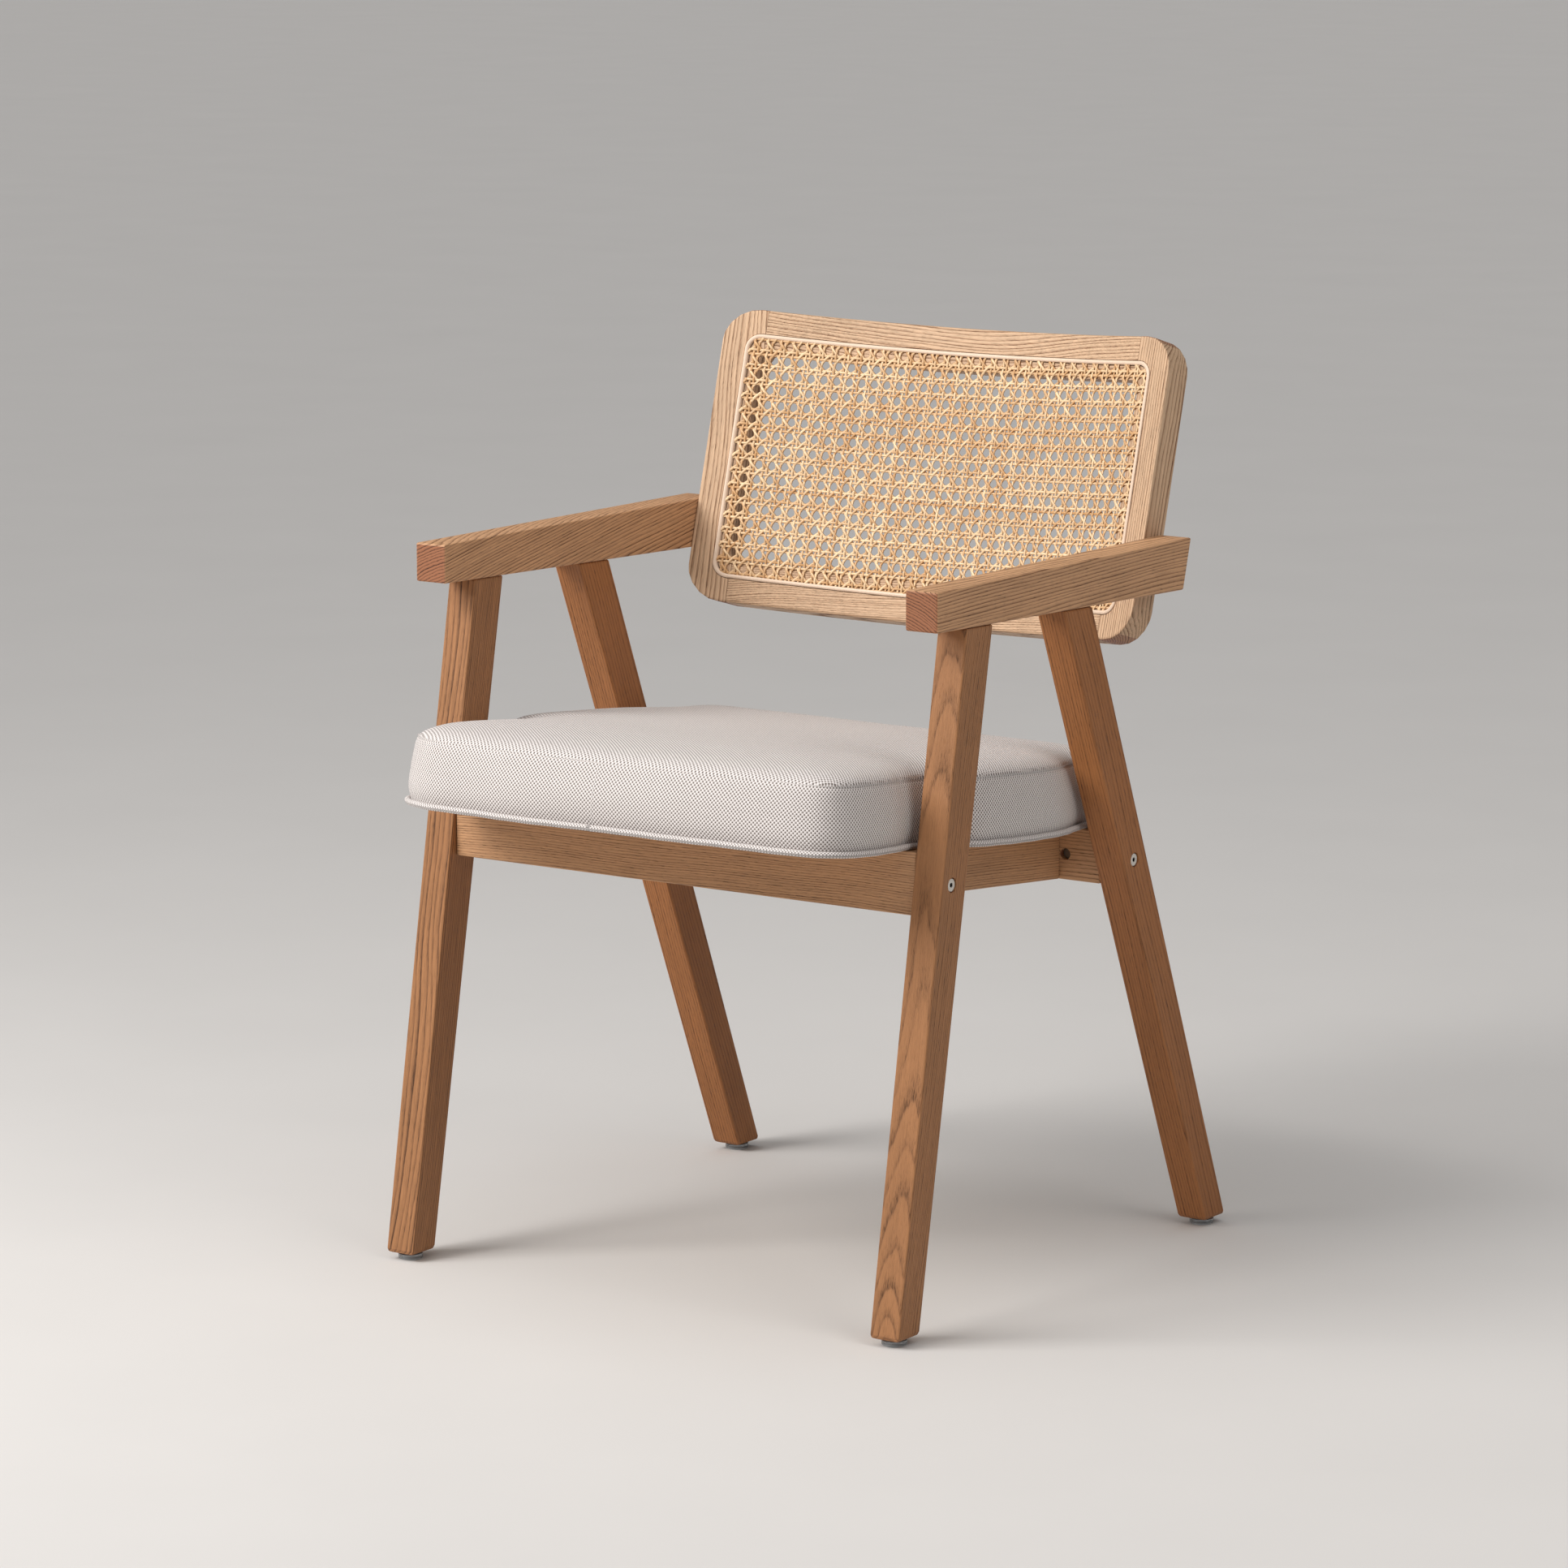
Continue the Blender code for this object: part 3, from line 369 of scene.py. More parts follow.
def plywood():
    """Birch plywood: faces with a wide figure and edges with thin layers."""
    g = Graph("birch_plywood")
    place = g.place_mm()
    _, y, z = g.split(place)
    level = g.add(z, g.times(y, SEAT_SLOPE))
    layer = g.math("FRACT", g.times(level, 1 / 2.4))
    layers = g.steps(layer, ((0.42, 0.0), (0.5, 1.0), (0.95, 1.0), (1.0, 0.0)))
    facing = g.math("ABSOLUTE", g.split(g.node("NewGeometry").outputs["Normal"])[2])
    figure = g.noise(g.vector("MULTIPLY", place, (1 / 90, 1 / 9, 1 / 9)), 3.0)
    face = g.shade(colour(214, 186, 146), g.add(1.0, g.times(figure, 0.35)))
    edge = g.mix(layers, colour(206, 174, 130), colour(150, 108, 70))
    g.set(Base_Color=g.mix(g.steps(facing, ((0.6, 0.0), (0.8, 1.0)), "LINEAR"), edge, face), Roughness=0.7)
    g.bump(figure, 0.0002)
    return g.material


def beech(name, scale):
    """Pale beech for dowels and loose tenons, with its small flecks."""
    g = Graph(name)
    place = g.vector("MULTIPLY", g.place_mm(), scale)
    flecks = g.noise(place, 3.0, 0.7)
    g.set(Base_Color=g.shade(colour(214, 170, 124), g.add(1.0, g.times(flecks, 0.5))), Roughness=0.65)
    g.bump(flecks, 0.0001)
    return g.material


def paint_hardware():
    # The bolt heads' sockets get painted shade.
    bolt_steel = steel("bolt_plating_socket_shade", (232, 228, 220), 0.42, (271.9, 272.8))
    nut_steel = steel("nut_plating", (120, 112, 102), 0.45)
    screw_steel = steel("screw_plating", (176, 172, 160), 0.40)
    finishes = {
        "bolt": bolt_steel,
        "barrel_nut": nut_steel,
        "seat_screw": screw_steel,
        "glide": clear_plastic(),
        "arm_dowel": beech("dowel_beech_upright", (2.0, 2.0, 0.2)),
        "rail_dowel": beech("dowel_beech_across", (0.2, 2.0, 2.0)),
        "back_dowel": beech("dowel_beech_back", (0.2, 2.0, 2.0)),
        "side_rail_tenon": beech("tenon_beech_side", (2.0, 0.2, 2.0)),
        "back_tenon": beech("tenon_beech_back", (0.2, 2.0, 2.0)),
    }
    for name in NODES:
        for start, material in finishes.items():
            if name == start or name.startswith(start + "_"):
                repaint(name, material)


# Shapes


def add_piece(name, points, faces, material, replaced, smooth=True):
    mesh = bpy.data.meshes.new(name)
    mesh.from_pydata([tuple(p) for p in points], [], faces)
    mesh.polygons.foreach_set("use_smooth", [smooth] * len(mesh.polygons))
    mesh.materials.append(material)
    piece = bpy.data.objects.new(name, mesh)
    bpy.context.scene.collection.objects.link(piece)
    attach(piece, "root")
    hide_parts(*replaced)
    return piece


def band_faces(rings, count, closed_along=False, start=0):
    """Quads between rings of count points each."""
    faces = []
    for i in range(rings if closed_along else rings - 1):
        a, b = start + i * count, start + (i + 1) % rings * count
        faces += [(a + j, a + (j + 1) % count, b + (j + 1) % count, b + j) for j in range(count)]
    return faces


def on_back(arc, up, behind):
    """World points at an arc length across the back, a height up its lean and a depth behind its face."""
    depth = behind + BACK_RADIUS * np.cos(arc / BACK_RADIUS) - (BACK_RADIUS - BACK_SAGITTA)
    return np.stack([
        BACK_RADIUS * np.sin(arc / BACK_RADIUS),
        BACK_Y + up * sin(BACK_LEAN) + depth * cos(BACK_LEAN),
        BACK_Z + up * cos(BACK_LEAN) - depth * sin(BACK_LEAN),
    ], axis=-1)


# Cane


def under_spline(arc, up, inset=SPLINE_INSET + SPLINE_WIDTH / 2, corner=SPLINE_CORNER - SPLINE_WIDTH / 2):
    """True inside the spline's middle line, where the strands show or tuck in."""
    u = BACK_RADIUS * np.sin(arc / BACK_RADIUS)
    half, middle = BACK_HALF_WIDTH - inset, (BACK_LOW + BACK_HIGH) / 2
    tall = (BACK_HIGH - BACK_LOW) / 2 - inset
    over_u = np.maximum(np.abs(u) - (half - corner), 0)
    over_w = np.maximum(np.abs(up - middle) - (tall - corner), 0)
    return np.hypot(over_u, over_w) < corner


def strand_runs(arc, up, rise):
    """The stretches of a strand inside the spline, as (arc, up, rise) arrays."""
    inside = under_spline(arc, up)
    ends = np.flatnonzero(np.diff(np.concatenate([[0], inside.astype(int), [0]])))
    return [(arc[a:b], up[a:b], rise[a:b]) for a, b in zip(ends[::2], ends[1::2]) if b - a > 3]


def grid_place(column, row):
    """Arc length and height of a place on the grid of holes, with rows counted downwards."""
    arc = FIRST_COLUMN + HOLE_PITCH_ACROSS * column
    return arc, TOP_ROW - HOLE_PITCH_UP * row + ROW_RISE * arc


SECTION = ((-1.0, -0.45), (-0.72, 0.32), (0.0, 0.55), (0.72, 0.32), (1.0, -0.45))


def add_strands(name, strands, width, thickness, material):
    """Half-round strands, each with its own tone and its length as attributes for the material."""
    rng = np.random.default_rng(len(name))
    points, faces, along = [], [], []
    for strand_path in strands:
        for arc, up, rise in strand_runs(*strand_path):
            run = np.concatenate([[0], np.cumsum(np.hypot(np.diff(arc), np.diff(up)))])
            step_a, step_w = np.gradient(arc), np.gradient(up)
            length = np.hypot(step_a, step_w)
            side_a, side_w = -step_w / length, step_a / length
            half = width / 2 * (1 + 0.06 * np.sin(run / 0.031 + rng.uniform(0, 6)) + rng.normal(0, 0.05))
            start = len(points)
            section = [on_back(arc + x * half * side_a, up + x * half * side_w,
                               CANE_DEPTH - rise - z * thickness) for x, z in SECTION]
            points.extend(np.stack(section, axis=1).reshape(-1, 3))
            count = len(SECTION)
            faces += band_faces(len(arc), count, start=start)
            faces.append(tuple(range(start + count - 1, start - 1, -1)))
            faces.append(tuple(range(len(points) - count, len(points))))
            tone = rng.uniform()
            along += [(r, x, tone) for r in run + rng.uniform(0, 9) for x, _ in SECTION]
    piece = add_piece(name, points, faces, material, ["cane_panel"])
    strand = piece.data.attributes.new("strand", "FLOAT_VECTOR", "POINT")
    strand.data.foreach_set("vector", np.array(along, dtype=np.float32).ravel())
    return piece


def squared_wave(phase):
    """A wave with flattened tops, so that a strand lies level where it crosses others."""
    return np.tanh(2.0 * np.cos(2 * pi * phase)) / np.tanh(2.0)


def wander(rng, count, size):
    """A slow drift along a strand."""
    places = np.linspace(0, 1, count)
    return size * (np.sin(2 * pi * (places * rng.uniform(1, 3) + rng.uniform())) + rng.normal(0, 0.6))


def cane_material():
    """Peeled cane: straw yellow with long fibres, a low shine and brown marks here and there."""
    g = Graph("woven_cane")
    strand = g.node("Attribute", attribute_name="strand").outputs["Vector"]
    along, across, tone = g.split(strand)
    fibre = g.noise(g.join(g.times(along, 60.0), g.times(across, 2.6), g.times(tone, 50.0)), 3.0, 0.6)
    patch = g.noise(g.join(g.times(along, 26.0), g.times(tone, 90.0), 0.0), 2.0)
    marks = g.noise(g.join(g.times(along, 70.0), g.times(tone, 700.0), across), 1.0)
    marks = g.steps(marks, ((0.28, 0.0), (0.34, 1.0)), "LINEAR")
    # Painted shade: each strand turns browner towards its edges, where its round side falls away from the
    # light.
    rim = g.steps(g.math("ABSOLUTE", across), ((0.55, 0.0), (1.0, 1.0)), "LINEAR")
    body = g.mix(tone, colour(206, 158, 106), colour(244, 214, 172))
    body = g.mix(g.math("MULTIPLY", rim, 0.55), body, colour(164, 108, 60))
    body = g.mix(g.times(marks, 0.6), body, colour(130, 80, 44))
    body = g.shade(body, g.add(1.0, g.add(g.times(fibre, 0.35), g.times(patch, 0.45))))
    g.set(Base_Color=body, Roughness=g.add(0.42, g.times(fibre, 0.25)), Specular_IOR_Level=0.5)
    g.bump(g.add(fibre, g.times(marks, 0.4)), 0.00012)
    return g.material


def make_cane():
    material = cane_material()
    rng = np.random.default_rng(7)
    columns = np.arange(-2, 35)
    rows = np.arange(-2, 18)
    fine_rows = np.arange(rows[0] * STEPS_PER_PITCH, rows[-1] * STEPS_PER_PITCH) / STEPS_PER_PITCH
    fine_columns = np.arange(columns[0] * STEPS_PER_PITCH, columns[-1] * STEPS_PER_PITCH) / STEPS_PER_PITCH
    upright, level, falling, rising = [], [], [], []
    for column in columns:
        for side in (-1, 1):
            arc, up = grid_place(column + 0.5, fine_rows)
            arc = arc + side * PAIR_HALF_GAP + wander(rng, len(up), 0.00016)
            lift = -side * PAIR_WAVE * np.sin(2 * pi * (fine_rows - 0.5)) / 0.81
            upright.append((arc, up, lift))
    for row in rows:
        for side in (-1, 1):
            arc, up = grid_place(fine_columns, row + 0.5)
            up = up - side * PAIR_HALF_GAP + wander(rng, len(arc), 0.00016)
            lift = side * PAIR_WAVE * np.sin(2 * pi * (fine_columns - 0.5)) / 0.81
            level.append((arc, up, lift))
    for shift in np.arange(columns[0] - rows[-1], columns[-1] - rows[0] + 1) + 0.5:
        arc, up = grid_place(fine_columns, fine_columns - shift)
        lift = DIAGONAL_WAVE * squared_wave(fine_columns - 0.5)
        falling.append((arc + wander(rng, len(arc), 0.00018), up, lift))
    for shift in np.arange(columns[0] + rows[0], columns[-1] + rows[-1] + 1) + 0.5:
        arc, up = grid_place(fine_columns, shift - fine_columns)
        lift = -DIAGONAL_WAVE * squared_wave(fine_columns - 0.5)
        rising.append((arc + wander(rng, len(arc), 0.00018), up, lift))
    add_strands("cane_upright_strands", upright, STRAND_WIDTH, STRAND_THICKNESS, material)
    add_strands("cane_level_strands", level, STRAND_WIDTH, STRAND_THICKNESS, material)
    add_strands("cane_falling_diagonals", falling, DIAGONAL_WIDTH, DIAGONAL_THICKNESS, material)
    add_strands("cane_rising_diagonals", rising, DIAGONAL_WIDTH, DIAGONAL_THICKNESS, material)


# Spline


def spline_path():
    """Arc length, height and outward direction round the spline's middle line."""
    inset, corner = SPLINE_INSET + SPLINE_WIDTH / 2, SPLINE_CORNER - SPLINE_WIDTH / 2
    half, low, high = BACK_HALF_WIDTH - inset - corner, BACK_LOW + inset + corner, BACK_HIGH - inset - corner
    centres = ((half, low, -0.5), (half, high, 0.0), (-half, high, 0.5), (-half, low, 1.0))
    path = []
    for i, (u, w, first) in enumerate(centres):
        for j in range(13):
            angle = pi * (first + j / 24)
            path.append((u + corner * cos(angle), w + corner * sin(angle), cos(angle), sin(angle)))
        next_u, next_w, next_first = centres[(i + 1) % 4]
        end = path[-1]
        goal = (next_u + corner * cos(pi * next_first), next_w + corner * sin(pi * next_first))
        steps = 60 if abs(goal[0] - end[0]) > 0.1 else 36
        path += [(end[0] + (goal[0] - end[0]) * k / steps, end[1] + (goal[1] - end[1]) * k / steps, *end[2:])
                 for k in range(1, steps)]
    return np.array(path)


def spline_material():
    g = Graph("reed_spline")
    run = g.node("Attribute", attribute_name="strand").outputs["Vector"]
    along, across, _ = g.split(run)
    fibre = g.noise(g.join(g.times(along, 90.0), g.times(across, 3.0), 0.0), 3.0, 0.6)
    specks = g.noise(g.join(g.times(along, 900.0), g.times(across, 2.0), 4.0), 1.0)
    specks = g.steps(specks, ((0.24, 0.0), (0.30, 1.0)), "LINEAR")
    body = g.mix(g.times(specks, 0.5), colour(230, 204, 180), colour(164, 124, 90))
    g.set(Base_Color=g.shade(body, g.add(1.0, g.times(fibre, 0.20))),
          Roughness=g.add(0.45, g.times(fibre, 0.2)), Specular_IOR_Level=0.45)
    g.bump(fibre, 0.00012)
    return g.material


def make_spline():
    path = spline_path()
    half = SPLINE_WIDTH / 2 - 0.0002
    profile = [(-1.0, SPLINE_DEPTH), (-1.0, 0.0004)]
    profile += [(-cos(pi * k / 10), -SPLINE_DOME * sin(pi * k / 10)) for k in range(1, 10)]
    profile += [(1.0, 0.0004), (1.0, SPLINE_DEPTH)]
    rings = []
    for across, behind in profile:
        u = path[:, 0] + path[:, 2] * across * half
        arc = BACK_RADIUS * np.arcsin(u / BACK_RADIUS)
        rings.append(on_back(arc, path[:, 1] + path[:, 3] * across * half, behind))
    points = np.stack(rings, axis=1).reshape(-1, 3)
    faces = band_faces(len(path), len(profile), closed_along=True)
    piece = add_piece("reed_spline", points, [f[::-1] for f in faces], spline_material(),
                      ["cane_spline"])
    run = np.concatenate([[0], np.cumsum(np.hypot(*np.diff(path[:, :2], axis=0).T))])
    values = [(r, across, 0.0) for r in run for across, _ in profile]
    strand = piece.data.attributes.new("strand", "FLOAT_VECTOR", "POINT")
    strand.data.foreach_set("vector", np.array(values, dtype=np.float32).ravel())


# Seat


def smooth_loop(corners, count):
    """Evenly spaced points on a smooth closed curve through the corners."""
    corners = np.array(corners)
    before, after = np.roll(corners, 1, axis=0), np.roll(corners, -1, axis=0)
    to_next = np.linalg.norm(after - corners, axis=1)[:, None]
    from_last = np.roll(to_next, 1, axis=0)
    slope = (after - before) / (to_next + from_last)
    t = np.linspace(0, 1, 40, endpoint=False)[None, :, None]
    p0, p1 = corners[:, None], after[:, None]
    m0 = (slope * to_next)[:, None]
    m1 = (np.roll(slope, -1, axis=0) * to_next)[:, None]
    curve = ((2 * t**3 - 3 * t**2 + 1) * p0 + (t**3 - 2 * t**2 + t) * m0
             + (3 * t**2 - 2 * t**3) * p1 + (t**3 - t**2) * m1).reshape(-1, 2)
    ends = np.vstack([curve, curve[:1]])
    run = np.concatenate([[0], np.cumsum(np.linalg.norm(np.diff(ends, axis=0), axis=1))])
    even = np.linspace(0, run[-1], count, endpoint=False)
    return np.stack([np.interp(even, run, ends[:, 0]), np.interp(even, run, ends[:, 1])], axis=1)


def seat_loop():
    """The piping's outer outline in plan, anticlockwise from the middle of the front."""
    mirrored = [(-x, y) for x, y in SEAT_LEFT_OUTLINE[RIGHT_CORNER_REPLACES - 1:-1]]
    right = list(SEAT_RIGHT_CORNER) + mirrored
    loop = smooth_loop(list(SEAT_LEFT_OUTLINE) + right[::-1], SEAT_POINTS)
    ahead = np.roll(loop, -2, axis=0) - np.roll(loop, 2, axis=0)
    outward = np.stack([ahead[:, 1], -ahead[:, 0]], axis=1)
    return loop, outward / np.linalg.norm(outward, axis=1)[:, None]


SEAT_TURN = Matrix.Rotation(-atan(SEAT_SLOPE), 4, "X")
SEAT_FRAME = Matrix.Translation((0.0, FRONT_RAIL_FACE, SEAT_EDGE_Z + SEAT_GAP)) @ SEAT_TURN
SLOPE_LENGTH = sqrt(1 + SEAT_SLOPE**2)


def seat_points(plan, height):
    """Points of the seat's tilted frame, from their place in plan and their height above the rails."""
    height = np.broadcast_to(height, len(plan))
    return np.stack([plan[:, 0], (plan[:, 1] - FRONT_RAIL_FACE) * SLOPE_LENGTH, height], axis=1)


def placed(points):
    """Points of the seat's tilted frame in the row frame."""
    turn = np.array(SEAT_FRAME.to_3x3())
    return points @ turn.T + np.array(SEAT_FRAME.translation)


# (height, inset from the outline) up the wall, then (share of the size, height) over the top.
WALL = (
    (0.0030, 0.0054), (0.0062, 0.0052), (0.0085, 0.0040), (0.0130, 0.0024), (0.0190, 0.0016),
    (0.0270, 0.0017), (0.0360, 0.0024), (0.0450, 0.0036), (0.0530, 0.0050), (0.0580, 0.0064),
    (SEAT_WALL_HEIGHT, 0.0078),
)
TOP = (
    (0.985, 0.0640), (0.970, 0.0660), (0.950, 0.0677), (0.920, 0.0694), (0.880, 0.0707), (0.820, 0.0719),
    (0.740, 0.0728), (0.640, 0.0734), (0.500, 0.0738), (0.300, 0.0740), (0.100, 0.0740), (0.010, 0.0740),
)
BOARD_PROFILE = (
    (0.0, 0.0092), (0.0006, 0.0086), (BOARD_THICKNESS - 0.0006, 0.0086), (BOARD_THICKNESS, 0.0092),
)
UNDERSIDE = ((BOARD_THICKNESS + 0.0004, 0.0080), (0.0008, 0.0072), (0.0002, 0.0063))


def interpolated(table, places):
    table = np.array(table)
    order = np.argsort(table[:, 0])
    return np.interp(places, table[order, 0], table[order, 1])


def wall_ring(loop, outward, height, inset):
    return seat_points(loop - outward * inset, height)


def top_ring(rim, share, height):
    middle = np.array(SEAT_MIDDLE)
    return seat_points(middle + (rim - middle) * share, height)


def starting_form(loop, outward):
    """A closed form a little smaller than the padded seat."""
    rings = [wall_ring(loop, outward, h, inset + START_SHRINK) for h, inset in UNDERSIDE]
    rings += [wall_ring(loop, outward, h, inset + START_SHRINK) for h, inset in WALL]
    rim = loop - outward * (WALL[-1][1] + START_SHRINK)
    rings += [top_ring(rim, share, h - START_SHRINK) for share, h in TOP]
    points = np.concatenate(rings)
    faces = band_faces(len(rings), SEAT_POINTS)
    faces.append(tuple(range(SEAT_POINTS - 1, -1, -1)))
    faces.append(tuple(range(len(points) - SEAT_POINTS, len(points))))
    mesh = bpy.data.meshes.new("pad_form")
    mesh.from_pydata([tuple(p) for p in points], [], faces)
    return mesh


def remeshed(mesh):
    helper = bpy.data.objects.new("pad_form", mesh)
    bpy.context.scene.collection.objects.link(helper)
    remesh = helper.modifiers.new("remesh", "REMESH")
    remesh.mode = "VOXEL"
    remesh.voxel_size = VOXEL
    graph = bpy.context.evaluated_depsgraph_get()
    even = bpy.data.meshes.new_from_object(helper.evaluated_get(graph))
    helper.modifiers.clear()
    helper.data = even
    return helper


def coordinates(mesh):
    values = np.empty(len(mesh.vertices) * 3, np.float32)
    mesh.vertices.foreach_get("co", values)
    return values.reshape(-1, 3).astype(float)


def inflated(helper):
    """The form's points after air pressure has swollen its cover, with the bottom held to the board."""
    start = coordinates(helper.data)
    held = helper.vertex_groups.new(name="held")
    held.add([int(i) for i in np.flatnonzero(start[:, 2] < HELD_BELOW)], 1.0, "REPLACE")
    cloth = helper.modifiers.new("swell", "CLOTH")
    settings = cloth.settings
    settings.vertex_group_mass = "held"
    settings.use_pressure = True
    settings.uniform_pressure_force = PRESSURE
    settings.tension_stiffness = settings.compression_stiffness = CLOTH_STIFFNESS
    settings.bending_stiffness = CLOTH_BENDING
    settings.effector_weights.gravity = 0.0
    settings.quality = CLOTH_QUALITY
    cloth.collision_settings.use_collision = False
    scene = bpy.context.scene
    for step in range(1, CLOTH_FRAMES + 1):
        scene.frame_set(step)
    graph = bpy.context.evaluated_depsgraph_get()
    end = coordinates(helper.evaluated_get(graph).data)
    helper.modifiers.clear()
    scene.frame_set(1)
    move = end - start
    length = np.linalg.norm(move, axis=1)[:, None]
    return start + move * np.minimum(1.0, MOST_SWELL / np.maximum(length, 1e-9))


def swollen_surface(loop, outward):
    """The simulated cover as a tree for finding its nearest points, in the seat's tilted frame."""
    helper = remeshed(starting_form(loop, outward))
    points = inflated(helper)
    faces = [tuple(face.vertices) for face in helper.data.polygons]
    tree = BVHTree.FromPolygons([tuple(p) for p in points], faces)
    bpy.data.objects.remove(helper)
    return tree


def swell_of(tree, points):
    """Each point's way to the simulated cover, evened out over the rings and nothing near the piping."""
    near = np.array([tree.find_nearest(Vector(point))[0] for point in points])
    move = (near - points).reshape(-1, SEAT_POINTS, 3)
    for _ in range(EVENING_PASSES):
        move = (2 * move + np.roll(move, 1, axis=1) + np.roll(move, -1, axis=1)) / 4
        stacked = np.concatenate([move[:1], move, move[-1:]])
        move = (2 * move + stacked[:-2] + stacked[2:]) / 4
    free = np.clip((points[:, 2:] - FREE_FROM) / (FREE_ABOVE - FREE_FROM), 0.0, 1.0)
    return move.reshape(-1, 3) * free


def cushion_rings(loop, outward):
    """(points, kind) rings from underneath, up the wall and over the top."""
    rings = [(wall_ring(loop, outward, h, inset), "under") for h, inset in UNDERSIDE]
    seam = SEAT_WALL_HEIGHT
    near_seam = seam - np.array([0.0024, 0.0016, 0.0008])
    heights = np.concatenate([np.arange(0.0030, seam - 0.0032, 0.0022), near_seam])
    rings += [(wall_ring(loop, outward, h, interpolated(WALL, h)), "wall") for h in heights]
    rings.append((wall_ring(loop, outward, seam, WALL[-1][1]), "seam"))
    rim = loop - outward * WALL[-1][1]
    shares = np.concatenate([1.0 - np.array([0.0035, 0.0070, 0.0120, 0.0180, 0.0260, 0.0360, 0.0500, 0.0700]),
                             np.linspace(0.905, 0.010, 26)])
    table = ((1.0, seam),) + TOP
    rings += [(top_ring(rim, share, interpolated(table, share)), "top") for share in shares]
    return rings


def make_board(loop, outward):
    """The plywood under the cushion, cut to the same outline."""
    rings = [wall_ring(loop, outward, height, inset) for height, inset in BOARD_PROFILE]
    faces = band_faces(len(rings), SEAT_POINTS)
    faces.append(tuple(range(SEAT_POINTS - 1, -1, -1)))
    faces.append(tuple(range((len(rings) - 1) * SEAT_POINTS, len(rings) * SEAT_POINTS)))
    add_piece("seat_panel", placed(np.concatenate(rings)), faces, plywood(), ["seat_board"],
              smooth=False)


def make_cushion():
    loop, outward = seat_loop()
    make_board(loop, outward)
    rings = cushion_rings(loop, outward)
    points = np.concatenate([ring for ring, _ in rings])
    kinds = [kind for _, kind in rings]
    start = kinds.index("wall")
    moving = slice(start * SEAT_POINTS, None)
    points[moving] += swell_of(swollen_surface(loop, outward), points[moving])
    points = stitched(points, kinds, outward)
    faces = band_faces(len(rings), SEAT_POINTS)
    faces.append(tuple(range(SEAT_POINTS - 1, -1, -1)))
    faces.append(tuple(range(len(points) - SEAT_POINTS, len(points))))
    cushion = add_piece("seat_cushion", placed(points), faces, fabric("woven_seat_fabric"),
                        ["seat_cover", "seat_foam"])
    add_weave(cushion, loop, points, kinds.index("seam"))
    make_piping(loop, outward)


def stitched(points, kinds, outward):
    """The seam drawn into the edge of the top, as a narrow valley with a raised welt in it."""
    grid = points.reshape(len(kinds), SEAT_POINTS, 3).copy()
    seam = kinds.index("seam")
    drawn_in = np.clip(1.5 * np.abs(outward[:, :1]), SEAM_AT_FRONT, 1.0)
    out = np.concatenate([outward * 0.8, np.full((SEAT_POINTS, 1), 0.6)], axis=1) * drawn_in
    for offset, depth in SEAM_PROFILE:
        grid[seam + offset] -= out * depth
    return grid.reshape(-1, 3)


def add_weave(cushion, loop, points, seam):
    """Where each face lies in the cloth: along and up the wall, or across and along the top."""
    run = np.linalg.norm(np.roll(loop, -1, axis=0) - loop, axis=1)
    along = np.concatenate([[0], np.cumsum(run)])
    values = []
    last_wall = seam * SEAT_POINTS
    for face in cushion.data.polygons:
        corners = list(face.vertices)
        on_wall = len(corners) == 4 and min(corners) < last_wall
        if on_wall:
            places = [c % SEAT_POINTS for c in corners]
            wraps = max(places) - min(places) > 1
            values += [(along[SEAT_POINTS if wraps and p == 0 else p], points[c][2], 0.0)
                       for p, c in zip(places, corners)]
        else:
            values += [(points[c][0], points[c][1], 1.0) for c in corners]
    weave = cushion.data.attributes.new("weave", "FLOAT_VECTOR", "CORNER")
    weave.data.foreach_set("vector", np.array(values, dtype=np.float32).ravel())


def fabric(name, column_mm=1.85, row_mm=1.8, relief=0.0006):
    """Basket weave in thick off-white yarn: bright floats with painted shade in the ground between them, with
    slubs and fine fibres.
    """
    g = Graph(name)
    cloth = g.node("Attribute", attribute_name="weave").outputs["Vector"]
    drift = g.node("TexNoise", {"Vector": cloth, "Scale": 55.0, "Detail": 2.0}).outputs["Color"]
    drift = g.vector("MULTIPLY", g.vector("SUBTRACT", drift, (0.5, 0.5, 0.5)), (0.0009, 0.0009, 0.0))
    x, y, _ = g.split(g.vector("ADD", cloth, drift))
    column, row = g.times(x, 1000.0 / column_mm), g.times(y, 1000.0 / row_mm)
    lattice = g.times(g.math("SINE", g.times(column, pi)), g.math("SINE", g.times(row, pi)))
    height = g.add(0.5, g.times(lattice, 0.5))
    yarn_tone = g.noise(g.join(g.math("FLOOR", g.times(column, 0.5)), g.math("FLOOR", row), 0.0), 0.0)
    fibre = g.noise(g.join(g.times(x, 900.0), g.times(y, 2200.0), 0.0), 2.0)
    slub = g.noise(g.join(g.times(x, 70.0), g.times(y, 700.0), 0.0), 1.0)
    patch = g.noise(g.vector("MULTIPLY", cloth, (9.0, 9.0, 9.0)), 2.0)
    # Painted shade: the yarn is coloured darker where the weave's height falls, down in the ground between
    # the floats.
    body = g.steps(height, ((0.0, colour(70, 62, 57)), (0.22, colour(138, 128, 122)),
                            (0.42, colour(204, 196, 192)), (0.70, colour(226, 220, 217)),
                            (1.0, colour(240, 235, 233))), "LINEAR")
    tone = g.add(g.add(g.times(fibre, 0.12), g.times(slub, 0.10)), g.add(g.times(yarn_tone, 0.14),
                                                                       g.times(patch, 0.05)))
    body = g.shade(body, g.add(1.0, tone))
    g.set(Base_Color=body, Roughness=g.add(0.88, g.times(fibre, 0.1)), Sheen_Weight=0.15, Sheen_Roughness=0.5,
          Specular_IOR_Level=0.2)
    g.bump(g.add(height, g.times(fibre, 0.18)), relief)
    return g.material


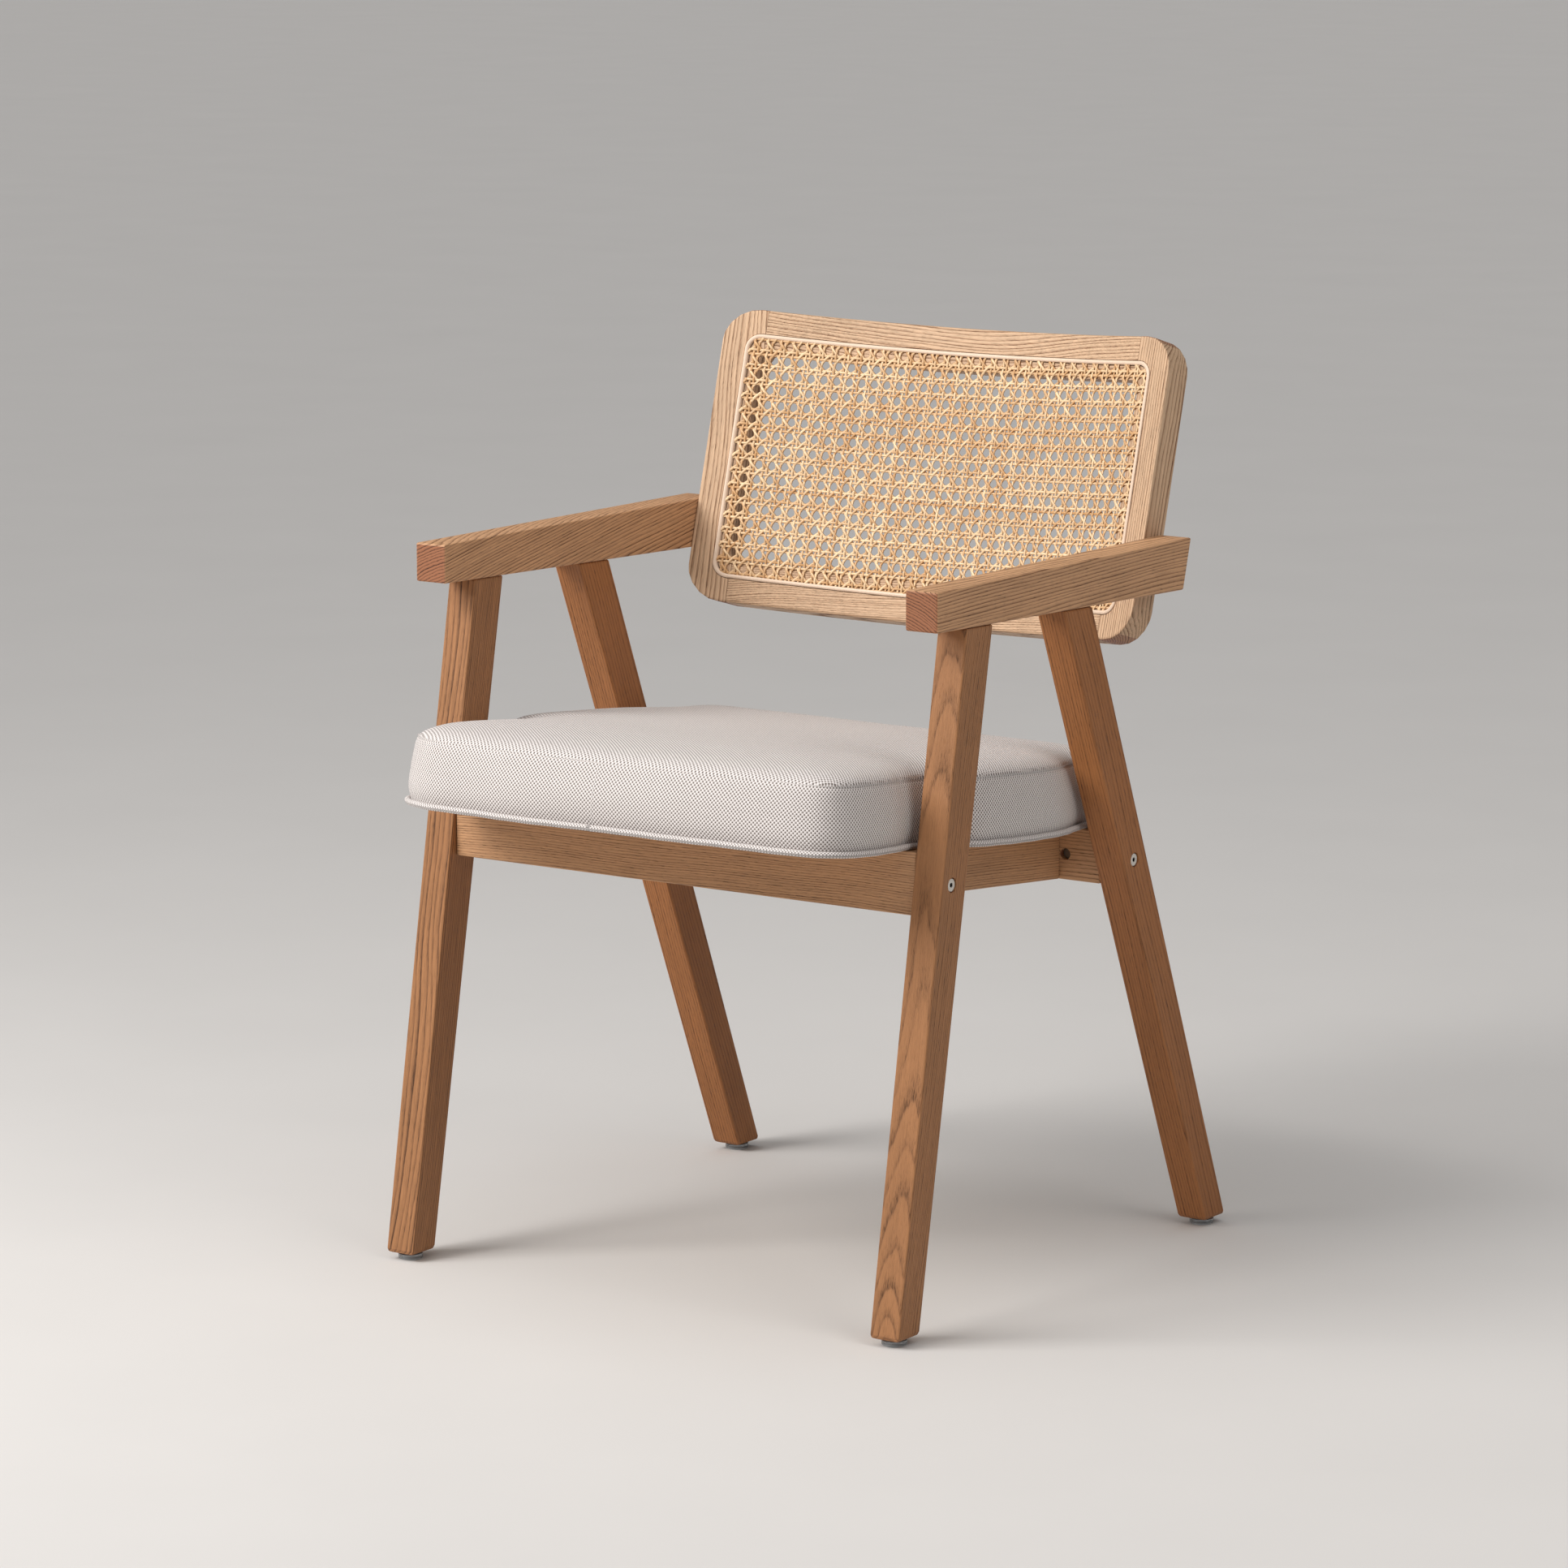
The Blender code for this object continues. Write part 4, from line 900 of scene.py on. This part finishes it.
def make_piping(loop, outward):
    """A covered cord round the cushion's bottom edge."""
    sides = 12
    centre = loop - outward * PIPING_RADIUS
    rings, values = [], []
    run = np.concatenate([[0], np.cumsum(np.linalg.norm(np.diff(loop, axis=0), axis=1))])
    for i in range(SEAT_POINTS):
        lift = 0.00015 * sin(run[i] / 0.017) + 0.0001 * sin(run[i] / 0.0061)
        for k in range(sides):
            angle = 2 * pi * k / sides
            plan = centre[i] + outward[i] * PIPING_RADIUS * cos(angle)
            point = seat_points(plan[None], PIPING_RADIUS * (1 + sin(angle)) + lift)[0]
            rings.append(point)
            values.append((run[i], PIPING_RADIUS * angle, 0.0))
    faces = band_faces(SEAT_POINTS, sides, closed_along=True)
    piping = add_piece("piping_cord", placed(np.array(rings)), faces,
                       fabric("piping_fabric_weave", 1.5, 1.4, 0.0003), ["seat_piping"])
    weave = piping.data.attributes.new("weave", "FLOAT_VECTOR", "POINT")
    weave.data.foreach_set("vector", np.array(values, dtype=np.float32).ravel())


# Stage


def make_floor():
    mesh = bpy.data.meshes.new("floor")
    half = FLOOR_SIZE / 2
    corners = [(-half, -half, 0), (half, -half, 0), (half, half, 0), (-half, half, 0)]
    mesh.from_pydata(corners, [], [(0, 1, 2, 3)])
    g = Graph("pale_floor")
    mottle = g.noise(g.vector("MULTIPLY", g.place_mm(), (0.004, 0.004, 0.004)), 3.0)
    g.set(Base_Color=g.shade(colour(214, 211, 208), g.add(1.0, g.times(mottle, 0.05))), Roughness=0.75,
          Specular_IOR_Level=0.2)
    mesh.materials.append(g.material)
    floor = bpy.data.objects.new("floor", mesh)
    bpy.context.scene.collection.objects.link(floor)


def add_lamp(name, kind, direction, energy, **settings):
    lamp = bpy.data.lights.new(name, kind)
    lamp.energy = energy
    for key, value in settings.items():
        setattr(lamp, key, value)
    holder = bpy.data.objects.new(name, lamp)
    holder.rotation_euler = Vector(direction).to_track_quat("Z", "Y").to_euler()
    bpy.context.scene.collection.objects.link(holder)
    return holder


def make_light():
    add_lamp("key", "SUN", (-0.27, -0.77, 0.62), 0.75, angle=radians(20), color=(1.0, 0.98, 0.96))
    soft = add_lamp("soft_box", "AREA", (-1.3, -1.6, 1.2), 46.0, size=1.2, color=(1.0, 0.98, 0.96))
    soft.location = (-1.35, -1.75, 1.85)
    fill = add_lamp("fill", "AREA", (1.8, -0.5, 1.4), 13.0, size=1.2, color=(1.0, 0.97, 0.94))
    fill.location = (1.9, -0.5, 2.0)
    add_lamp("ceiling", "SUN", (-0.1, -0.3, 1.0), 1.12, angle=radians(70))
    world = bpy.data.worlds.new("studio")
    world.use_nodes = True
    background = world.node_tree.nodes["Background"]
    background.inputs["Color"].default_value = (0.97, 0.98, 1.0, 1.0)
    background.inputs["Strength"].default_value = 0.16
    bpy.context.scene.world = world
    bpy.context.scene.view_settings.view_transform = "Standard"


def make_camera():
    data = bpy.data.cameras.new("camera")
    data.lens = CAMERA_LENS_MM
    data.sensor_width = 36.0
    camera = bpy.data.objects.new("camera", data)
    camera.location = CAMERA_PLACE
    camera.rotation_euler = (pi / 2 + CAMERA_PITCH, 0.0, CAMERA_TURN)
    bpy.context.scene.collection.objects.link(camera)
    bpy.context.scene.camera = camera


make_camera()
make_light()
make_floor()
paint_timber()
paint_hardware()
make_cane()
make_spline()
make_cushion()
